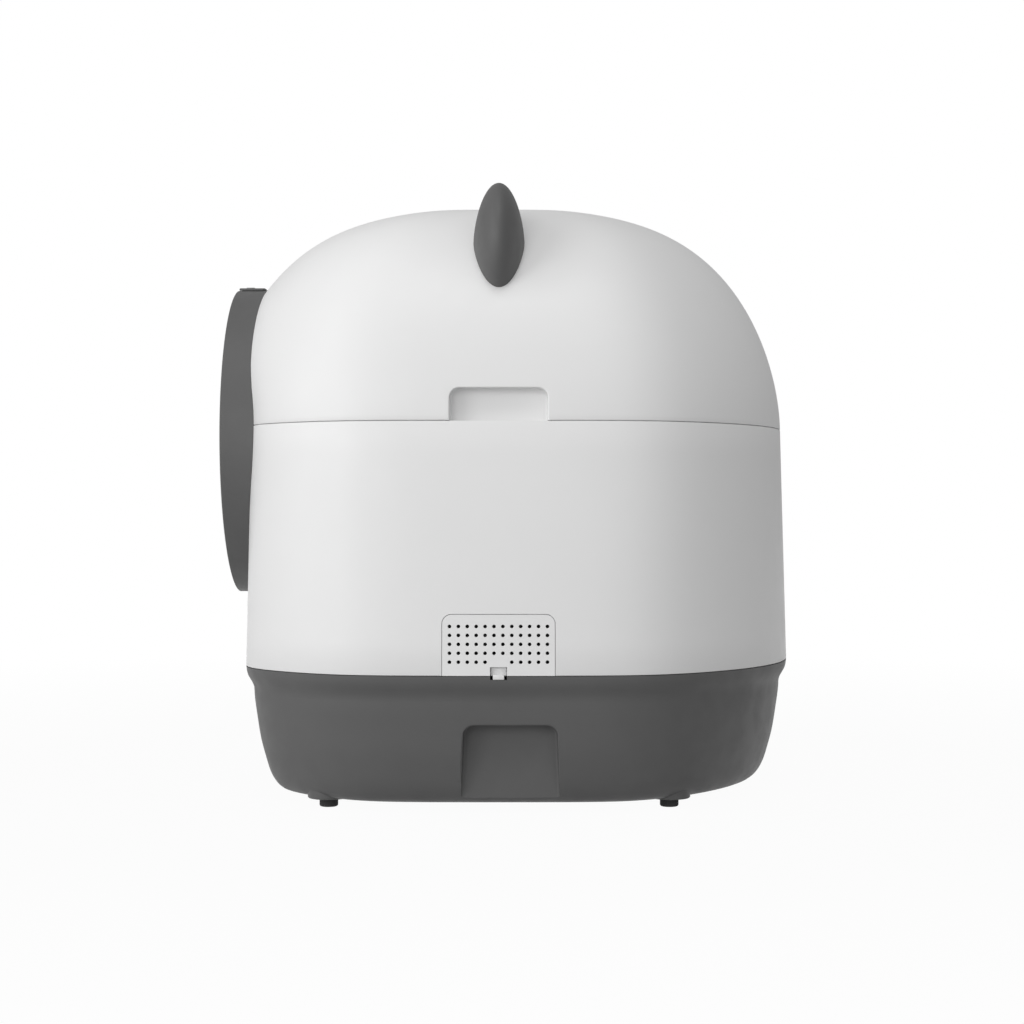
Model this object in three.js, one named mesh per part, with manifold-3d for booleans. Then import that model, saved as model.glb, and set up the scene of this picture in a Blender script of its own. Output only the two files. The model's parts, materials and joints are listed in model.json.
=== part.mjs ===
// Self-cleaning litter box: a white domed housing on a dark base, with a round entry at the front (-Y),
// a drum that turns about the front-to-back axis, and a waste drawer under it. Millimetres, +Z up,
// origin on the floor under the middle of the object. The filter door is on the +X side.
import * as THREE from "three";
import { mergeVertices } from "three/addons/utils/BufferGeometryUtils.js";
import Module from "manifold-3d";

const wasm = await Module();
wasm.setup();

// Driving dimensions
const WALL = 3; // thickness of the moulded shells
const GAP = 0.3; // between pieces that seat on or in one another
const RUN = 1; // between a moving piece and what it passes
const SEAM_GAP = 0.5; // the open line between base, body and dome
const OVERRUN = 15; // how far a cut runs past the faces it opens
const FLOOR_GAP = 7.9; // height of the base above the floor
const BASE_H = 116.4;
const BODY_H = 223.6;
const DOME_H = 212.5;

// The plan: a round back and corners with a flattened side, and a flat front, at the base's rim
const SIDE = 256;
const ROUND = 283.3;
const FRONT = 239.7;
const SIDE_DRAFT = 9; // how much each of them draws in over the body's height
const ROUND_DRAFT = 6;
const FRONT_DRAFT = 4.2;
const FRONT_FADE = 265; // how fast the flat front gives way to the round up the dome
const CORNER_POWER = 26; // the higher, the sharper the flats meet the round
const DOME_RISE_POWER = 1.75; // these two shape the dome's cross-section
const DOME_ROUND_POWER = 3.42;
const CROWN_SHARE = 0.3; // width of the flat at the dome's crown, of its last ring of faces

// The base's side from its bottom up: share of the height, share of the tuck at the bottom
const BASE_TUCK = 46;
const BASE_SIDE_SHARES = [
  [0, 1], [0.012, 0.84], [0.03, 0.72], [0.08, 0.59], [0.16, 0.483], [0.27, 0.396], [0.42, 0.298],
  [0.6, 0.224], [0.76, 0.17], [0.835, 0.158], [0.895, 0.084], [0.945, 0.02], [1, 0],
];

// How many sides the round forms have: seen from outside, seen from inside, and small ones
const OUTER_SIDES = 48;
const INNER_SIDES = 28;
const DOME_LEVELS = 10;
const INNER_DOME_LEVELS = 6;
const DRUM_SIDES = 36;
const EAR_SIDES = 24;
const EAR_LEVELS = 5;
const SHOULDER_STEPS = 4;
const MEDIUM_SIDES = 14;
const SMALL_SIDES = 12;
const TINY_SIDES = 8;
const VENT_SIDES = 4;
const CORNER_STEPS = 3;
const FACE_STEPS = 3;

const SEAM_LOW = FLOOR_GAP + BASE_H;
const SEAM_HIGH = SEAM_LOW + BODY_H;
const TOP = SEAM_HIGH + DOME_H;
const BASE_FLOOR = FLOOR_GAP + WALL;
const LOW_PLAN = { side: SIDE, round: ROUND, front: FRONT };
const HIGH_PLAN = { side: SIDE - SIDE_DRAFT, round: ROUND - ROUND_DRAFT, front: FRONT - FRONT_DRAFT };

// How far out the flattened sides really are at the two seams
const SIDE_FACE = planRadius(LOW_PLAN, 0);
const HIGH_SIDE_FACE = planRadius(HIGH_PLAN, 0);

// The lip that each shell raises inside the next one, on a root that joins it to its wall
const lip = { height: 5, thick: 2.5, root: 6, rootInset: 1.5 };
const LIP_INSIDE = WALL + SEAM_GAP + lip.thick;

// Entry ring, and the drum's axis, which it shares
const ring = {
  radius: 149.6, proud: 21.5, band: 29.6, axisDrop: 9.5, faceSet: 3, facePower: 1.5, roll: 9, lipLength: 1,
  collar: 8,
};
const RING_BORE = ring.radius - ring.band;
const AXIS_Z = SEAM_HIGH - ring.axisDrop;
const RING_FRONT = -(FRONT + ring.proud);
const liner = { thick: 3, inside: 52 };
const LINER_R = RING_BORE + liner.thick;
const OPENING_R = LINER_R + RUN;
const seal = { thick: 6 };

// The whole object is centred on Y = 0, so the plan's centre sits a little in front of it
const PLAN_Y = (FRONT + ring.proud - ROUND) / 2;

// Waste drawer and its front
const drawer = {
  inset: 109.36, front: 196, back: 150, height: 90.5, corner: 12, faceOver: 5, faceHeight: 96.4, skin: 3.5,
};
const DRAWER_HALF = SIDE_FACE - drawer.inset;
const FACE_HALF = DRAWER_HALF + drawer.faceOver;

// Deck over the drawer, with the hole that waste drops through, and the posts that carry it
const deck = { thick: 3.5, drop: 5, chuteRoom: 22, chuteY: 85, corner: 20, collar: 6, collarThick: 3 };
const DECK_TOP = SEAM_LOW - deck.drop;
const DECK_BOTTOM = DECK_TOP - deck.thick;
const post = { radius: 7, inset: 65.36, y: 100 };
const POST_X = SIDE_FACE - post.inset;

// Drum: a mouth, a front shoulder, a cylinder, a back shoulder and a closed back. It fills the room that
// the sides, the dome and the deck leave it
const drum = {
  sideRoom: 59.3, headroom: 23, deckRoom: 22.5, mouthRoom: 17, neck: 10, mouthPlace: 216,
  frontStraight: 95, backStraight: 118, backRadius: 120, backPlace: 200, joint: 60, flangeWidth: 3,
  flangeRise: 4,
};
const MOUTH_R = LINER_R + drum.mouthRoom;
const DRUM_R = Math.min(
  SIDE_FACE - drum.sideRoom,
  TOP - WALL - drum.headroom - AXIS_Z,
  AXIS_Z - DECK_TOP - drum.deckRoom,
);
const port = { half: 56, place: 8, collar: 5, flange: 3.2, inward: 8, proud: 3.2 };
const sieve = {
  angle: 34, reach: 30, thick: 2.5, front: 54, back: 112, slot: 8, bar: 7, margin: 12, end: 22,
};

// Gearing: a ring gear round the drum and the pinion that drives it
const gear = {
  teeth: 64, stand: 9, width: 12, place: 106, backlash: 1.1, addendumShare: 0.8, dedendumShare: 1.05,
};
const PITCH_R = DRUM_R + gear.stand;
const MODULE = (2 * PITCH_R) / gear.teeth;
const PRESSURE_ANGLE = THREE.MathUtils.degToRad(20);
const pinion = { teeth: 10, width: 14, toothSteps: 38.5, shaft: 3 };
const PINION_R = (MODULE * pinion.teeth) / 2;
const PINION_ANGLE = (pinion.toothSteps * 2 * Math.PI) / gear.teeth;
const PINION_X = (PITCH_R + PINION_R) * Math.cos(PINION_ANGLE);
const PINION_Z = AXIS_Z + (PITCH_R + PINION_R) * Math.sin(PINION_ANGLE);

// Rollers that carry the drum, each on an axle between two towers of the deck
const roller = { radius: 13, width: 12, place: 80, angle: 35, axle: 3, axleEnd: 1 };
const tower = { thick: 4, half: 8, over: 5 };
const ROLLER_ORBIT = DRUM_R + roller.radius + GAP;
const ROLLER_X = ROLLER_ORBIT * Math.sin(THREE.MathUtils.degToRad(roller.angle));
const ROLLER_Z = AXIS_Z - ROLLER_ORBIT * Math.cos(THREE.MathUtils.degToRad(roller.angle));
const CHUTE_X = ROLLER_X - tower.half - deck.chuteRoom;

// The runners under the drawer, the grip in its front and the frame that holds a bag
const runner = { x: 60, half: 6, rise: 1.5, front: 188, guideHeight: 15, guideThick: 3 };
const DRAWER_BOTTOM = BASE_FLOOR + runner.rise + GAP;
const DRAWER_TOP = DRAWER_BOTTOM + drawer.height;
const pull = { half: 42, low: 57, high: 75, inset: 26, corner: 8, wall: 2.5 };
const bagFrame = { thick: 3.2, side: 21, end: 20, corner: 15 };

// Hand grips: a scoop in each side of the base, a notch in each lower edge of the dome
const scoop = { half: 42, offset: 10.4, top: 72.4, inset: 29.36, corner: 9.5 };
const notch = { half: 43.3, offset: 0, height: 29.25, inset: 17.57, corner: 7.6, wall: 2.5, shelf: 3.5 };

// Filter door with its vents and latch, the bay behind it and the cartridge in the bay
const door = { half: 49.3, height: 53.85, corner: 8.2, line: 0.5, thick: 2.6 };
const hook = { place: 32, half: 6, rise: 4, thick: 2.4, root: 7 };
const vent = { pitch: 7.78, columns: 12, rows: 5, radius: 1.75, bottom: 12.35, skip: 2 };
const latch = {
  half: 4.9, below: 2.9, above: 1.4, slotHalf: 7.35, notch: 8.1, depth: 6.76, stem: 2.4, stemHalf: 7.05, rise: 14,
  set: 0.26,
};
const rib = { thick: 2, low: 9, high: 16, depth: 5 };
const bay = {
  depth: 25.36, wall: 2, shoulder: 4, hookRoom: 8, windowHalf: 38, windowLow: 14, windowHigh: 41,
};
const cartridge = { depth: 14, height: 48 };

// Feet: a boss under the base, and a pad whose stem plugs into it
const foot = {
  inset: 77.36, y: 155, boss: 19.1, rise: 18, pad: 8.5, chamfer: 2.2, stem: 3.5, stemLength: 12,
};
const FOOT_X = SIDE_FACE - foot.inset;

// Ears: lens-shaped, each on a peg through the dome, with a nut inside
const ear = { radius: 54.15, half: 23.2, z: 164.05, power: 1.6, peg: 5, pegIn: 16, pegOut: 6 };
const earNut = { radius: 9, thick: 3, drop: 4 };

// Control panel on top of the ring, its buttons, their board under it, and a lens in the ring's face
const panel = { half: 24, thick: 2.3, front: 3.7, depth: 24 };
const button = { radius: 4.2, stem: 1.8, pitch: 14, place: 10, travel: 1, proud: 0.6 };
const panelBoard = {
  half: 18, thick: 1.6, front: 7, depth: 15.5, inset: 5.6, postX: 14, postHalf: 2, postDepth: 8,
};
const BOARD_R = ring.radius - panelBoard.inset;
const lens = { radius: 5, depth: 4, inset: 13.6, set: 0.8 };
const LENS_Z = AXIS_Z + ring.radius - lens.inset;

// Motor on its bracket
const motor = { canRadius: 18.5, canLength: 54, boxHalf: 22, boxLength: 24, socket: 7 };
const bracket = { half: 24, thick: 3, foot: 24, shaftHole: 6, behind: 6 };

// Control board at the back of the base, its cover, and the power inlet
const board = { half: 45, front: 170, depth: 60, thick: 1.6, rise: 5, post: 3, postInset: 6 };
const cover = { margin: 5, height: 30, wall: 2 };
const inlet = { x: -60, z: 50, barrel: 6, bore: 2.8, boreDepth: 12, flange: 9, flangeOut: 3, inward: 20 };

// Screws, with the head's underside at their place
const screw = { shank: 1.8, head: 3.4, headHeight: 2.4, length: 13 };
const ringScrew = { inset: 12.1, boss: 5.5, angles: [-110, -90, -70] };
const RING_SCREW_ORBIT = ring.radius - ringScrew.inset;

// Materials
const surface = (color, roughness, metalness) =>
  new THREE.MeshStandardMaterial({ color, roughness, metalness });
const moulded = (color, roughness) => surface(color, roughness, 0);
const metal = (color, roughness) => surface(color, roughness, 1);
const white = () => moulded(0xe6e6e6, 0.45);
const dark = () => moulded(0x5c5c5c, 0.5);
const grey = () => moulded(0xb9bcbf, 0.5);
const black = () => moulded(0x26282a, 0.35);
const rubber = () => moulded(0x3a3a3a, 0.8);
const carbon = () => moulded(0x2d2d2f, 0.9);
const laminate = () => moulded(0x2f6b45, 0.6);
const nylon = () => moulded(0xe2dfd6, 0.55);
const steel = () => metal(0xb8babd, 0.35);

// A closed three.js geometry as a manifold-3d solid: faces that merging has flattened are left out,
// and the rest are turned over where they would point inwards
function solid(geometry) {
  const bare = geometry.clone();
  bare.deleteAttribute("normal");
  bare.deleteAttribute("uv");
  const merged = mergeVertices(bare, 1e-4);
  const places = merged.attributes.position.array;
  const faces = [];
  let volume = 0;
  for (let i = 0; i < merged.index.count; i += 3) {
    const [a, b, c] = [0, 1, 2].map((k) => merged.index.getX(i + k));
    if (a === b || b === c || c === a) continue;
    faces.push(a, b, c);
    const [p, q, r] = [a, b, c].map((k) => new THREE.Vector3().fromArray(places, 3 * k));
    volume += p.dot(q.cross(r));
  }
  if (volume < 0) faces.reverse();
  return new wasm.Manifold(
    new wasm.Mesh({ numProp: 3, vertProperties: new Float32Array(places), triVerts: new Uint32Array(faces) }),
  );
}

// A manifold-3d solid as a three.js geometry
function geometryOf(made) {
  const mesh = made.getMesh();
  const places = new Float32Array(mesh.numVert * 3);
  for (let i = 0; i < mesh.numVert; i++) {
    const start = i * mesh.numProp;
    places.set(mesh.vertProperties.subarray(start, start + 3), i * 3);
  }
  const indexed = new THREE.BufferGeometry();
  indexed.setAttribute("position", new THREE.BufferAttribute(places, 3));
  indexed.setIndex(new THREE.BufferAttribute(new Uint32Array(mesh.triVerts), 1));
  const faceted = indexed.toNonIndexed();
  faceted.computeVertexNormals();
  return faceted;
}

const joined = (solids) => solids.reduce((sum, one) => sum.add(one));
const signs = [-1, 1];
const corners = signs.flatMap((sx) => signs.map((sy) => [sx, sy]));

// A box between two corners, and one that is turned about the drum's axis, which its corners start from
function boxGeometry([x0, y0, z0], [x1, y1, z1]) {
  const made = new THREE.BoxGeometry(x1 - x0, y1 - y0, z1 - z0);
  return made.translate((x0 + x1) / 2, (y0 + y1) / 2, (z0 + z1) / 2);
}
const block = (low, high) => solid(boxGeometry(low, high));
const turnedBlock = (low, high, angle) =>
  solid(boxGeometry(low, high).rotateY(angle).translate(0, 0, AXIS_Z));

// A solid turned from a profile of [radius, place] points: about the drum's axis, about a line along Y
// or X, about a vertical line, or about a spoke of the drum's axis
function lathe(profile, sides) {
  return new THREE.LatheGeometry(profile.map(([r, along]) => new THREE.Vector2(r, along)), sides);
}
const rod = (radius, from, to) => [[0, from], [radius, from], [radius, to], [0, to]];
const tube = (inner, outer, from, to) =>
  [[inner, from], [outer, from], [outer, to], [inner, to], [inner, from]];
const aboutAxis = (profile) => solid(lathe(profile, DRUM_SIDES).translate(0, 0, AXIS_Z));
const alongYAt = (x, z, profile, sides) => solid(lathe(profile, sides).translate(x, 0, z));
const alongXAt = (y, z, profile, sides) =>
  solid(lathe(profile, sides).rotateZ(-Math.PI / 2).translate(0, y, z));
const uprightAt = (x, y, profile, sides) =>
  solid(lathe(profile, sides).rotateX(Math.PI / 2).translate(x, y, 0));
function spokeAt(angle, y, profile, sides) {
  const made = lathe(profile, sides).rotateX(Math.PI / 2).translate(0, y, 0);
  return solid(made.rotateY(angle).translate(0, 0, AXIS_Z));
}

// A rectangle with rounded lower and upper corners
function rounded(x0, x1, y0, y1, lower, upper) {
  const shape = new THREE.Shape();
  const corner = (x, y, radius, quarter) => {
    const start = (quarter * Math.PI) / 2;
    if (radius > 0) shape.absarc(x, y, radius, start, start + Math.PI / 2, false);
    else shape.lineTo(x, y);
  };
  shape.moveTo(x0 + lower, y0);
  corner(x1 - lower, y0 + lower, lower, 3);
  corner(x1 - upper, y1 - upper, upper, 0);
  corner(x0 + upper, y1 - upper, upper, 1);
  corner(x0 + lower, y0 + lower, lower, 2);
  return shape;
}

// A flat shape pushed along one axis between two places; its axes are (Y, Z), (X, Z) or (X, Y)
function pushed(shape, from, to) {
  const options = { depth: to - from, bevelEnabled: false, curveSegments: CORNER_STEPS };
  return new THREE.ExtrudeGeometry(shape, options);
}
function pushedX(shape, from, to) {
  return solid(pushed(shape, from, to).rotateX(Math.PI / 2).rotateZ(Math.PI / 2).translate(from, 0, 0));
}
const pushedY = (shape, from, to) =>
  solid(pushed(shape, from, to).rotateX(Math.PI / 2).translate(0, to, 0));
const pushedZ = (shape, from, to) => solid(pushed(shape, from, to).translate(0, 0, from));

// The plan drawn in by an inset, and a plan between two others
const inset = (plan, by) => ({ side: plan.side - by, round: plan.round - by, front: plan.front - by });

function between(a, b, share) {
  return {
    side: a.side + (b.side - a.side) * share,
    round: a.round + (b.round - a.round) * share,
    front: a.front + (b.front - a.front) * share,
  };
}

function planRadius(plan, angle) {
  const across = Math.abs(Math.cos(angle)) / plan.side;
  const ahead = Math.max(0, -Math.sin(angle)) / plan.front;
  const sum = plan.round ** -CORNER_POWER + across ** CORNER_POWER + ahead ** CORNER_POWER;
  return sum ** (-1 / CORNER_POWER);
}

// A solid whose section at each level is a plan: a lathe whose circles are pushed to that outline
function planSolid(levels, sides) {
  const heights = [levels[0].z, ...levels.map(({ z }) => z), levels[levels.length - 1].z];
  const made = lathe(heights.map((z) => [0, z]), sides);
  for (let column = 0; column <= sides; column++) {
    const angle = ((column % sides) / sides) * 2 * Math.PI;
    heights.forEach((z, row) => {
      const level = levels[row - 1];
      const radius = level ? planRadius(level.plan, angle) : 0;
      const index = column * heights.length + row;
      made.attributes.position.setXYZ(index, radius * Math.cos(angle), radius * Math.sin(angle), z);
    });
  }
  return solid(made);
}

// The body's plan at a height, and how far out its flattened side is there, drawn in by an inset
const bodyPlan = (z) => between(LOW_PLAN, HIGH_PLAN, (z - SEAM_LOW) / BODY_H);
const sideFace = (z, by) => planRadius(inset(bodyPlan(z), by), 0);

// The body's form between two heights, drawn in by an inset
function bodyForm(by, from, to, sides = OUTER_SIDES) {
  return planSolid([from, to].map((z) => ({ z, plan: inset(bodyPlan(z), by) })), sides);
}

// The base's form up to a height, drawn in by an inset; inside it has every second level only
function baseForm(by, top = SEAM_LOW, sides = OUTER_SIDES) {
  const stride = sides === OUTER_SIDES ? 1 : 2;
  const rows = BASE_SIDE_SHARES.filter((_, i) => i % stride === 0);
  const levels = rows.map(([up, tuck]) => ({
    z: FLOOR_GAP + up * BASE_H,
    plan: inset(LOW_PLAN, by + tuck * BASE_TUCK),
  }));
  return planSolid([...levels, { z: top, plan: inset(LOW_PLAN, by) }], sides);
}

// The dome's width at a share of its height, as a share of its width at the seam
const domeWidth = (share) => (1 - share ** DOME_RISE_POWER) ** (1 / DOME_ROUND_POWER);

// The dome's form from a height up, drawn in by an inset; it is straight until it is past the lip
function domeForm(by, from, sides = OUTER_SIDES, count = DOME_LEVELS) {
  const height = DOME_H - by;
  const plan = inset(HIGH_PLAN, by);
  const levels = [from, SEAM_HIGH + lip.height + GAP].map((z) => ({ z, plan }));
  for (let i = 1; i < count; i++) {
    const share = Math.sin((i / count) * (Math.PI / 2));
    const wide = domeWidth(share);
    const front = plan.front + FRONT_FADE * share ** 2;
    const narrowed = { side: plan.side * wide, round: plan.round * wide, front };
    levels.push({ z: SEAM_HIGH + share * height, plan: narrowed });
  }
  const last = levels[levels.length - 1].plan;
  const crown = { side: last.side * CROWN_SHARE, round: last.round * CROWN_SHARE, front: last.front };
  return planSolid([...levels, { z: SEAM_HIGH + height, plan: crown }], sides);
}

// The lip above a seam, less what has to pass it
function lipOn(plan, seam) {
  const inner = inset(plan, LIP_INSIDE);
  const outer = planSolid(
    [
      { z: seam - lip.root, plan: inset(plan, lip.rootInset) },
      { z: seam, plan: inset(plan, lip.rootInset) },
      { z: seam, plan: inset(plan, WALL + SEAM_GAP) },
      { z: seam + lip.height, plan: inset(plan, WALL + SEAM_GAP) },
    ],
    INNER_SIDES,
  );
  const cut = [seam - lip.root - OVERRUN, seam + lip.height + OVERRUN].map((z) => ({ z, plan: inner }));
  return outer.subtract(planSolid(cut, INNER_SIDES));
}

// The assembly, in the plan's frame
const housing = new THREE.Group();
housing.position.y = PLAN_Y;

function piece(name, made, material) {
  const mesh = new THREE.Mesh(geometryOf(made), material);
  mesh.name = name;
  housing.add(mesh);
}

// Screws along Y and along Z; the hole that each needs is wider by the gap
const screwProfile = (turn) => [
  [0, -screw.headHeight * turn], [screw.head, -screw.headHeight * turn], [screw.head, 0], [screw.shank, 0],
  [screw.shank, screw.length * turn], [0, screw.length * turn],
];
const screwHole = (from, to) => rod(screw.shank + GAP, from, to);
const shifted = (profile, by) => profile.map(([r, along]) => [r, along + by]);

// Where the ring's screws pass the front wall
const ringScrewPlaces = ringScrew.angles.map((degrees) => {
  const angle = THREE.MathUtils.degToRad(degrees);
  const z = AXIS_Z + RING_SCREW_ORBIT * Math.sin(angle);
  return { x: RING_SCREW_ORBIT * Math.cos(angle), z, inside: -(bodyPlan(z).front - WALL) };
});

// Points of an arc about [r, y], for a lathe profile
function arc(r, y, radius, from, to, steps) {
  return Array.from({ length: steps + 1 }, (_, i) => {
    const angle = THREE.MathUtils.degToRad(from + ((to - from) * i) / steps);
    return [r + radius * Math.cos(angle), y + radius * Math.sin(angle)];
  });
}

// A hand grip's recess in a side wall, open below; its back is a flat at the face's distance
function gripForm(side, grip, face, low, high, grow) {
  const [y0, y1] = [grip.offset - grip.half - grow, grip.offset + grip.half + grow];
  const ends = [side * (face - grow), side * (SIDE + OVERRUN)].sort((a, b) => a - b);
  return pushedX(rounded(y0, y1, low, high + grow, 0, grip.corner + grow), ...ends);
}
const scoopForm = (side, grow) =>
  gripForm(side, scoop, SIDE_FACE - scoop.inset, FLOOR_GAP - OVERRUN, FLOOR_GAP + scoop.top, grow);
const notchForm = (side, grow) =>
  gripForm(side, notch, HIGH_SIDE_FACE - notch.inset, SEAM_HIGH - OVERRUN, SEAM_HIGH + notch.height, grow);

// The round way in through the body's front wall, and the wider one where the ring passes the dome
const roundCut = (radius) => aboutAxis(rod(radius, RING_FRONT, -drum.frontStraight));
const entryCut = () => roundCut(OPENING_R);
const ringPass = () => roundCut(ring.radius + SEAM_GAP);

// Where the filter door's parts lie: the door's top, the latch's slot and the bay's box
const DOOR_TOP = SEAM_LOW + door.height;
const SLOT_FACE = SIDE_FACE - latch.depth - RUN;
const BAY_FACE = SIDE_FACE - bay.depth;
const bayBox = (grow, low, half) =>
  block([BAY_FACE - grow, -half, low], [SIDE + OVERRUN, half, DOOR_TOP + bay.hookRoom + grow]);
const latchSlot = (low, high) =>
  block([SLOT_FACE, -latch.slotHalf, low], [SIDE + OVERRUN, latch.slotHalf, high]);

// The height and place of the power inlet in the base's rear wall
const INLET_Z = FLOOR_GAP + inlet.z;
function baseTuck(up) {
  const i = BASE_SIDE_SHARES.findIndex(([share]) => share >= up);
  const [[u0, t0], [u1, t1]] = [BASE_SIDE_SHARES[i - 1], BASE_SIDE_SHARES[i]];
  return BASE_TUCK * (t0 + ((t1 - t0) * (up - u0)) / (u1 - u0));
}
const INLET_Y = Math.sqrt((ROUND - baseTuck(inlet.z / BASE_H)) ** 2 - inlet.x ** 2);

// Posts of the control board
const boardPosts = signs.flatMap((sx) =>
  [board.postInset, board.depth - board.postInset].map((along) => [
    sx * (board.half - board.postInset),
    board.front + along,
  ]),
);

// Base: a tub with grips, bosses for the feet, runners for the drawer, posts for deck and board
function baseTub() {
  const [x, y] = [SIDE + OVERRUN, ROUND + OVERRUN];
  const above = block([-x, -y, BASE_FLOOR], [x, y, TOP]);
  const inside = baseForm(WALL, SEAM_LOW + OVERRUN, INNER_SIDES).intersect(above);
  const outside = baseForm(0);
  const root = BASE_FLOOR - WALL / 2;
  const runners = signs.flatMap((sx) => {
    const near = DRAWER_HALF + RUN;
    const guide = [sx * near, sx * (near + runner.guideThick)].sort((a, b) => a - b);
    return [
      block(
        [sx * runner.x - runner.half, -runner.front, root],
        [sx * runner.x + runner.half, drawer.back, BASE_FLOOR + runner.rise],
      ),
      block([guide[0], -runner.front, root], [guide[1], drawer.back, BASE_FLOOR + runner.guideHeight]),
    ];
  });
  const posts = corners.map(([sx, sy]) =>
    uprightAt(sx * POST_X, sy * post.y, rod(post.radius, root, DECK_BOTTOM - GAP), SMALL_SIDES),
  );
  const standoffs = boardPosts.map(([x, y]) =>
    uprightAt(x, y, rod(board.post, root, BASE_FLOOR + board.rise - GAP), TINY_SIDES),
  );
  const bosses = corners.map(([sx, sy]) =>
    uprightAt(sx * FOOT_X, sy * foot.y, rod(foot.boss, FLOOR_GAP, FLOOR_GAP + foot.rise), MEDIUM_SIDES),
  );
  const grips = signs.map((sx) => scoopForm(sx, WALL).intersect(outside));
  const body = [outside.subtract(inside), lipOn(LOW_PLAN, SEAM_LOW), ...grips, ...bosses];
  const cuts = [
    ...signs.map((sx) => scoopForm(sx, 0)),
    ...corners.map(([sx, sy]) => {
      const hole = rod(foot.stem + GAP, FLOOR_GAP - OVERRUN, FLOOR_GAP + foot.stemLength + RUN);
      return uprightAt(sx * FOOT_X, sy * foot.y, hole, TINY_SIDES);
    }),
    ...corners.map(([sx, sy]) =>
      uprightAt(sx * POST_X, sy * post.y, screwHole(DECK_BOTTOM - screw.length, TOP), TINY_SIDES),
    ),
    block(
      [-FACE_HALF - GAP, RING_FRONT, DRAWER_BOTTOM - GAP],
      [FACE_HALF + GAP, -runner.front, DRAWER_BOTTOM + drawer.faceHeight + GAP],
    ),
    alongYAt(inlet.x, INLET_Z, rod(inlet.barrel + GAP, INLET_Y - inlet.inward, ROUND + OVERRUN), SMALL_SIDES),
    block(
      [BAY_FACE - bay.wall - RUN, -door.half - bay.wall - RUN, SEAM_LOW],
      [SIDE + OVERRUN, door.half + bay.wall + RUN, SEAM_HIGH],
    ),
    latchSlot(SEAM_LOW - latch.below - GAP, SEAM_HIGH),
  ];
  return joined([...body, ...runners, ...posts, ...standoffs]).subtract(joined(cuts));
}

// Body: the white shell between base and dome, with the lip for the dome and the bay for the filter
function doorPrism(grow) {
  const half = door.half + grow;
  const shape = rounded(-half, half, SEAM_LOW, DOOR_TOP + grow, 0, door.corner + grow);
  return pushedX(shape, BAY_FACE, SIDE + OVERRUN);
}

function bodyShell() {
  const low = SEAM_LOW + SEAM_GAP;
  const outside = bodyForm(0, low, SEAM_HIGH);
  const inside = bodyForm(WALL, SEAM_LOW - OVERRUN, SEAM_HIGH + OVERRUN, INNER_SIDES);
  const passes = [...signs.map((sx) => notchForm(sx, notch.wall + RUN)), ringPass()];
  const domeLip = lipOn(HIGH_PLAN, SEAM_HIGH).subtract(joined(passes));
  const shelfFace = HIGH_SIDE_FACE - notch.inset - notch.wall;
  const shelves = signs.map((sx) => {
    const ends = [sx * shelfFace, sx * (SIDE + OVERRUN)].sort((a, b) => a - b);
    const shelf = block([ends[0], -notch.half, SEAM_HIGH - notch.shelf], [ends[1], notch.half, SEAM_HIGH]);
    return shelf.intersect(outside);
  });
  const bayWalls = bayBox(bay.wall, low, door.half + bay.wall).intersect(outside);
  const bayRoom = bayBox(0, low + bay.wall, door.half - bay.shoulder).intersect(
    bodyForm(WALL, SEAM_LOW, SEAM_HIGH),
  );
  const doorway = doorPrism(door.line).subtract(
    bodyForm(door.thick + door.line, SEAM_LOW - OVERRUN, SEAM_HIGH),
  );
  const holes = ringScrewPlaces.map(({ x, z }) =>
    alongYAt(x, z, screwHole(RING_FRONT, -drum.frontStraight), TINY_SIDES),
  );
  const window = block(
    [BAY_FACE - bay.wall - RUN, -bay.windowHalf, SEAM_LOW + bay.windowLow],
    [BAY_FACE + RUN, bay.windowHalf, SEAM_LOW + bay.windowHigh],
  );
  const walls = outside.subtract(inside).add(domeLip.intersect(bodyForm(0, low, SEAM_HIGH + OVERRUN)));
  const cuts = [bayRoom, doorway, entryCut(), window, latchSlot(SEAM_LOW, SEAM_LOW + rib.high), ...holes];
  return joined([walls, ...shelves, bayWalls]).subtract(joined(cuts));
}

// Dome: lifts straight up off the body
const EAR_X = HIGH_SIDE_FACE * domeWidth(ear.z / DOME_H);
const EAR_Z = SEAM_HIGH + ear.z;
function leaning(side, profile, sides) {
  const made = lathe(profile, sides).rotateX(Math.PI / 2).rotateY((side * Math.PI) / 4);
  return solid(made.translate(side * EAR_X, 0, EAR_Z));
}

function domeCover() {
  const low = SEAM_HIGH + SEAM_GAP;
  const outside = domeForm(0, low);
  const inside = domeForm(WALL, SEAM_HIGH - OVERRUN, INNER_SIDES, INNER_DOME_LEVELS);
  const grips = signs.map((sx) => notchForm(sx, notch.wall).intersect(outside));
  const cuts = [
    ...signs.map((sx) => notchForm(sx, 0)),
    ...signs.map((sx) => leaning(sx, rod(ear.peg + GAP, -ear.pegIn, ear.pegOut), SMALL_SIDES)),
    ringPass(),
  ];
  return joined([outside.subtract(inside), ...grips]).subtract(joined(cuts));
}

// Ear: a lens about a line along Y, cut to the dome, on a peg that leans inwards at 45 degrees
function earOn(side) {
  const profile = [];
  for (let i = -EAR_LEVELS; i <= EAR_LEVELS; i++) {
    const share = Math.cos(((i / EAR_LEVELS) * Math.PI) / 2);
    const swell = Math.sqrt(Math.max(0, 1 - share ** ear.power));
    profile.push([Math.abs(i) === EAR_LEVELS ? 0 : ear.radius * share, Math.sign(i) * ear.half * swell]);
  }
  const cup = alongYAt(side * EAR_X, EAR_Z, profile, EAR_SIDES).subtract(domeForm(-GAP, SEAM_HIGH));
  return cup.add(leaning(side, rod(ear.peg, -ear.pegIn, ear.pegOut), SMALL_SIDES));
}
const earNutOn = (side) => {
  const outer = WALL + earNut.drop;
  return leaning(side, tube(ear.peg + GAP, earNut.radius, -outer - earNut.thick, -outer), SMALL_SIDES);
};

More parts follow.
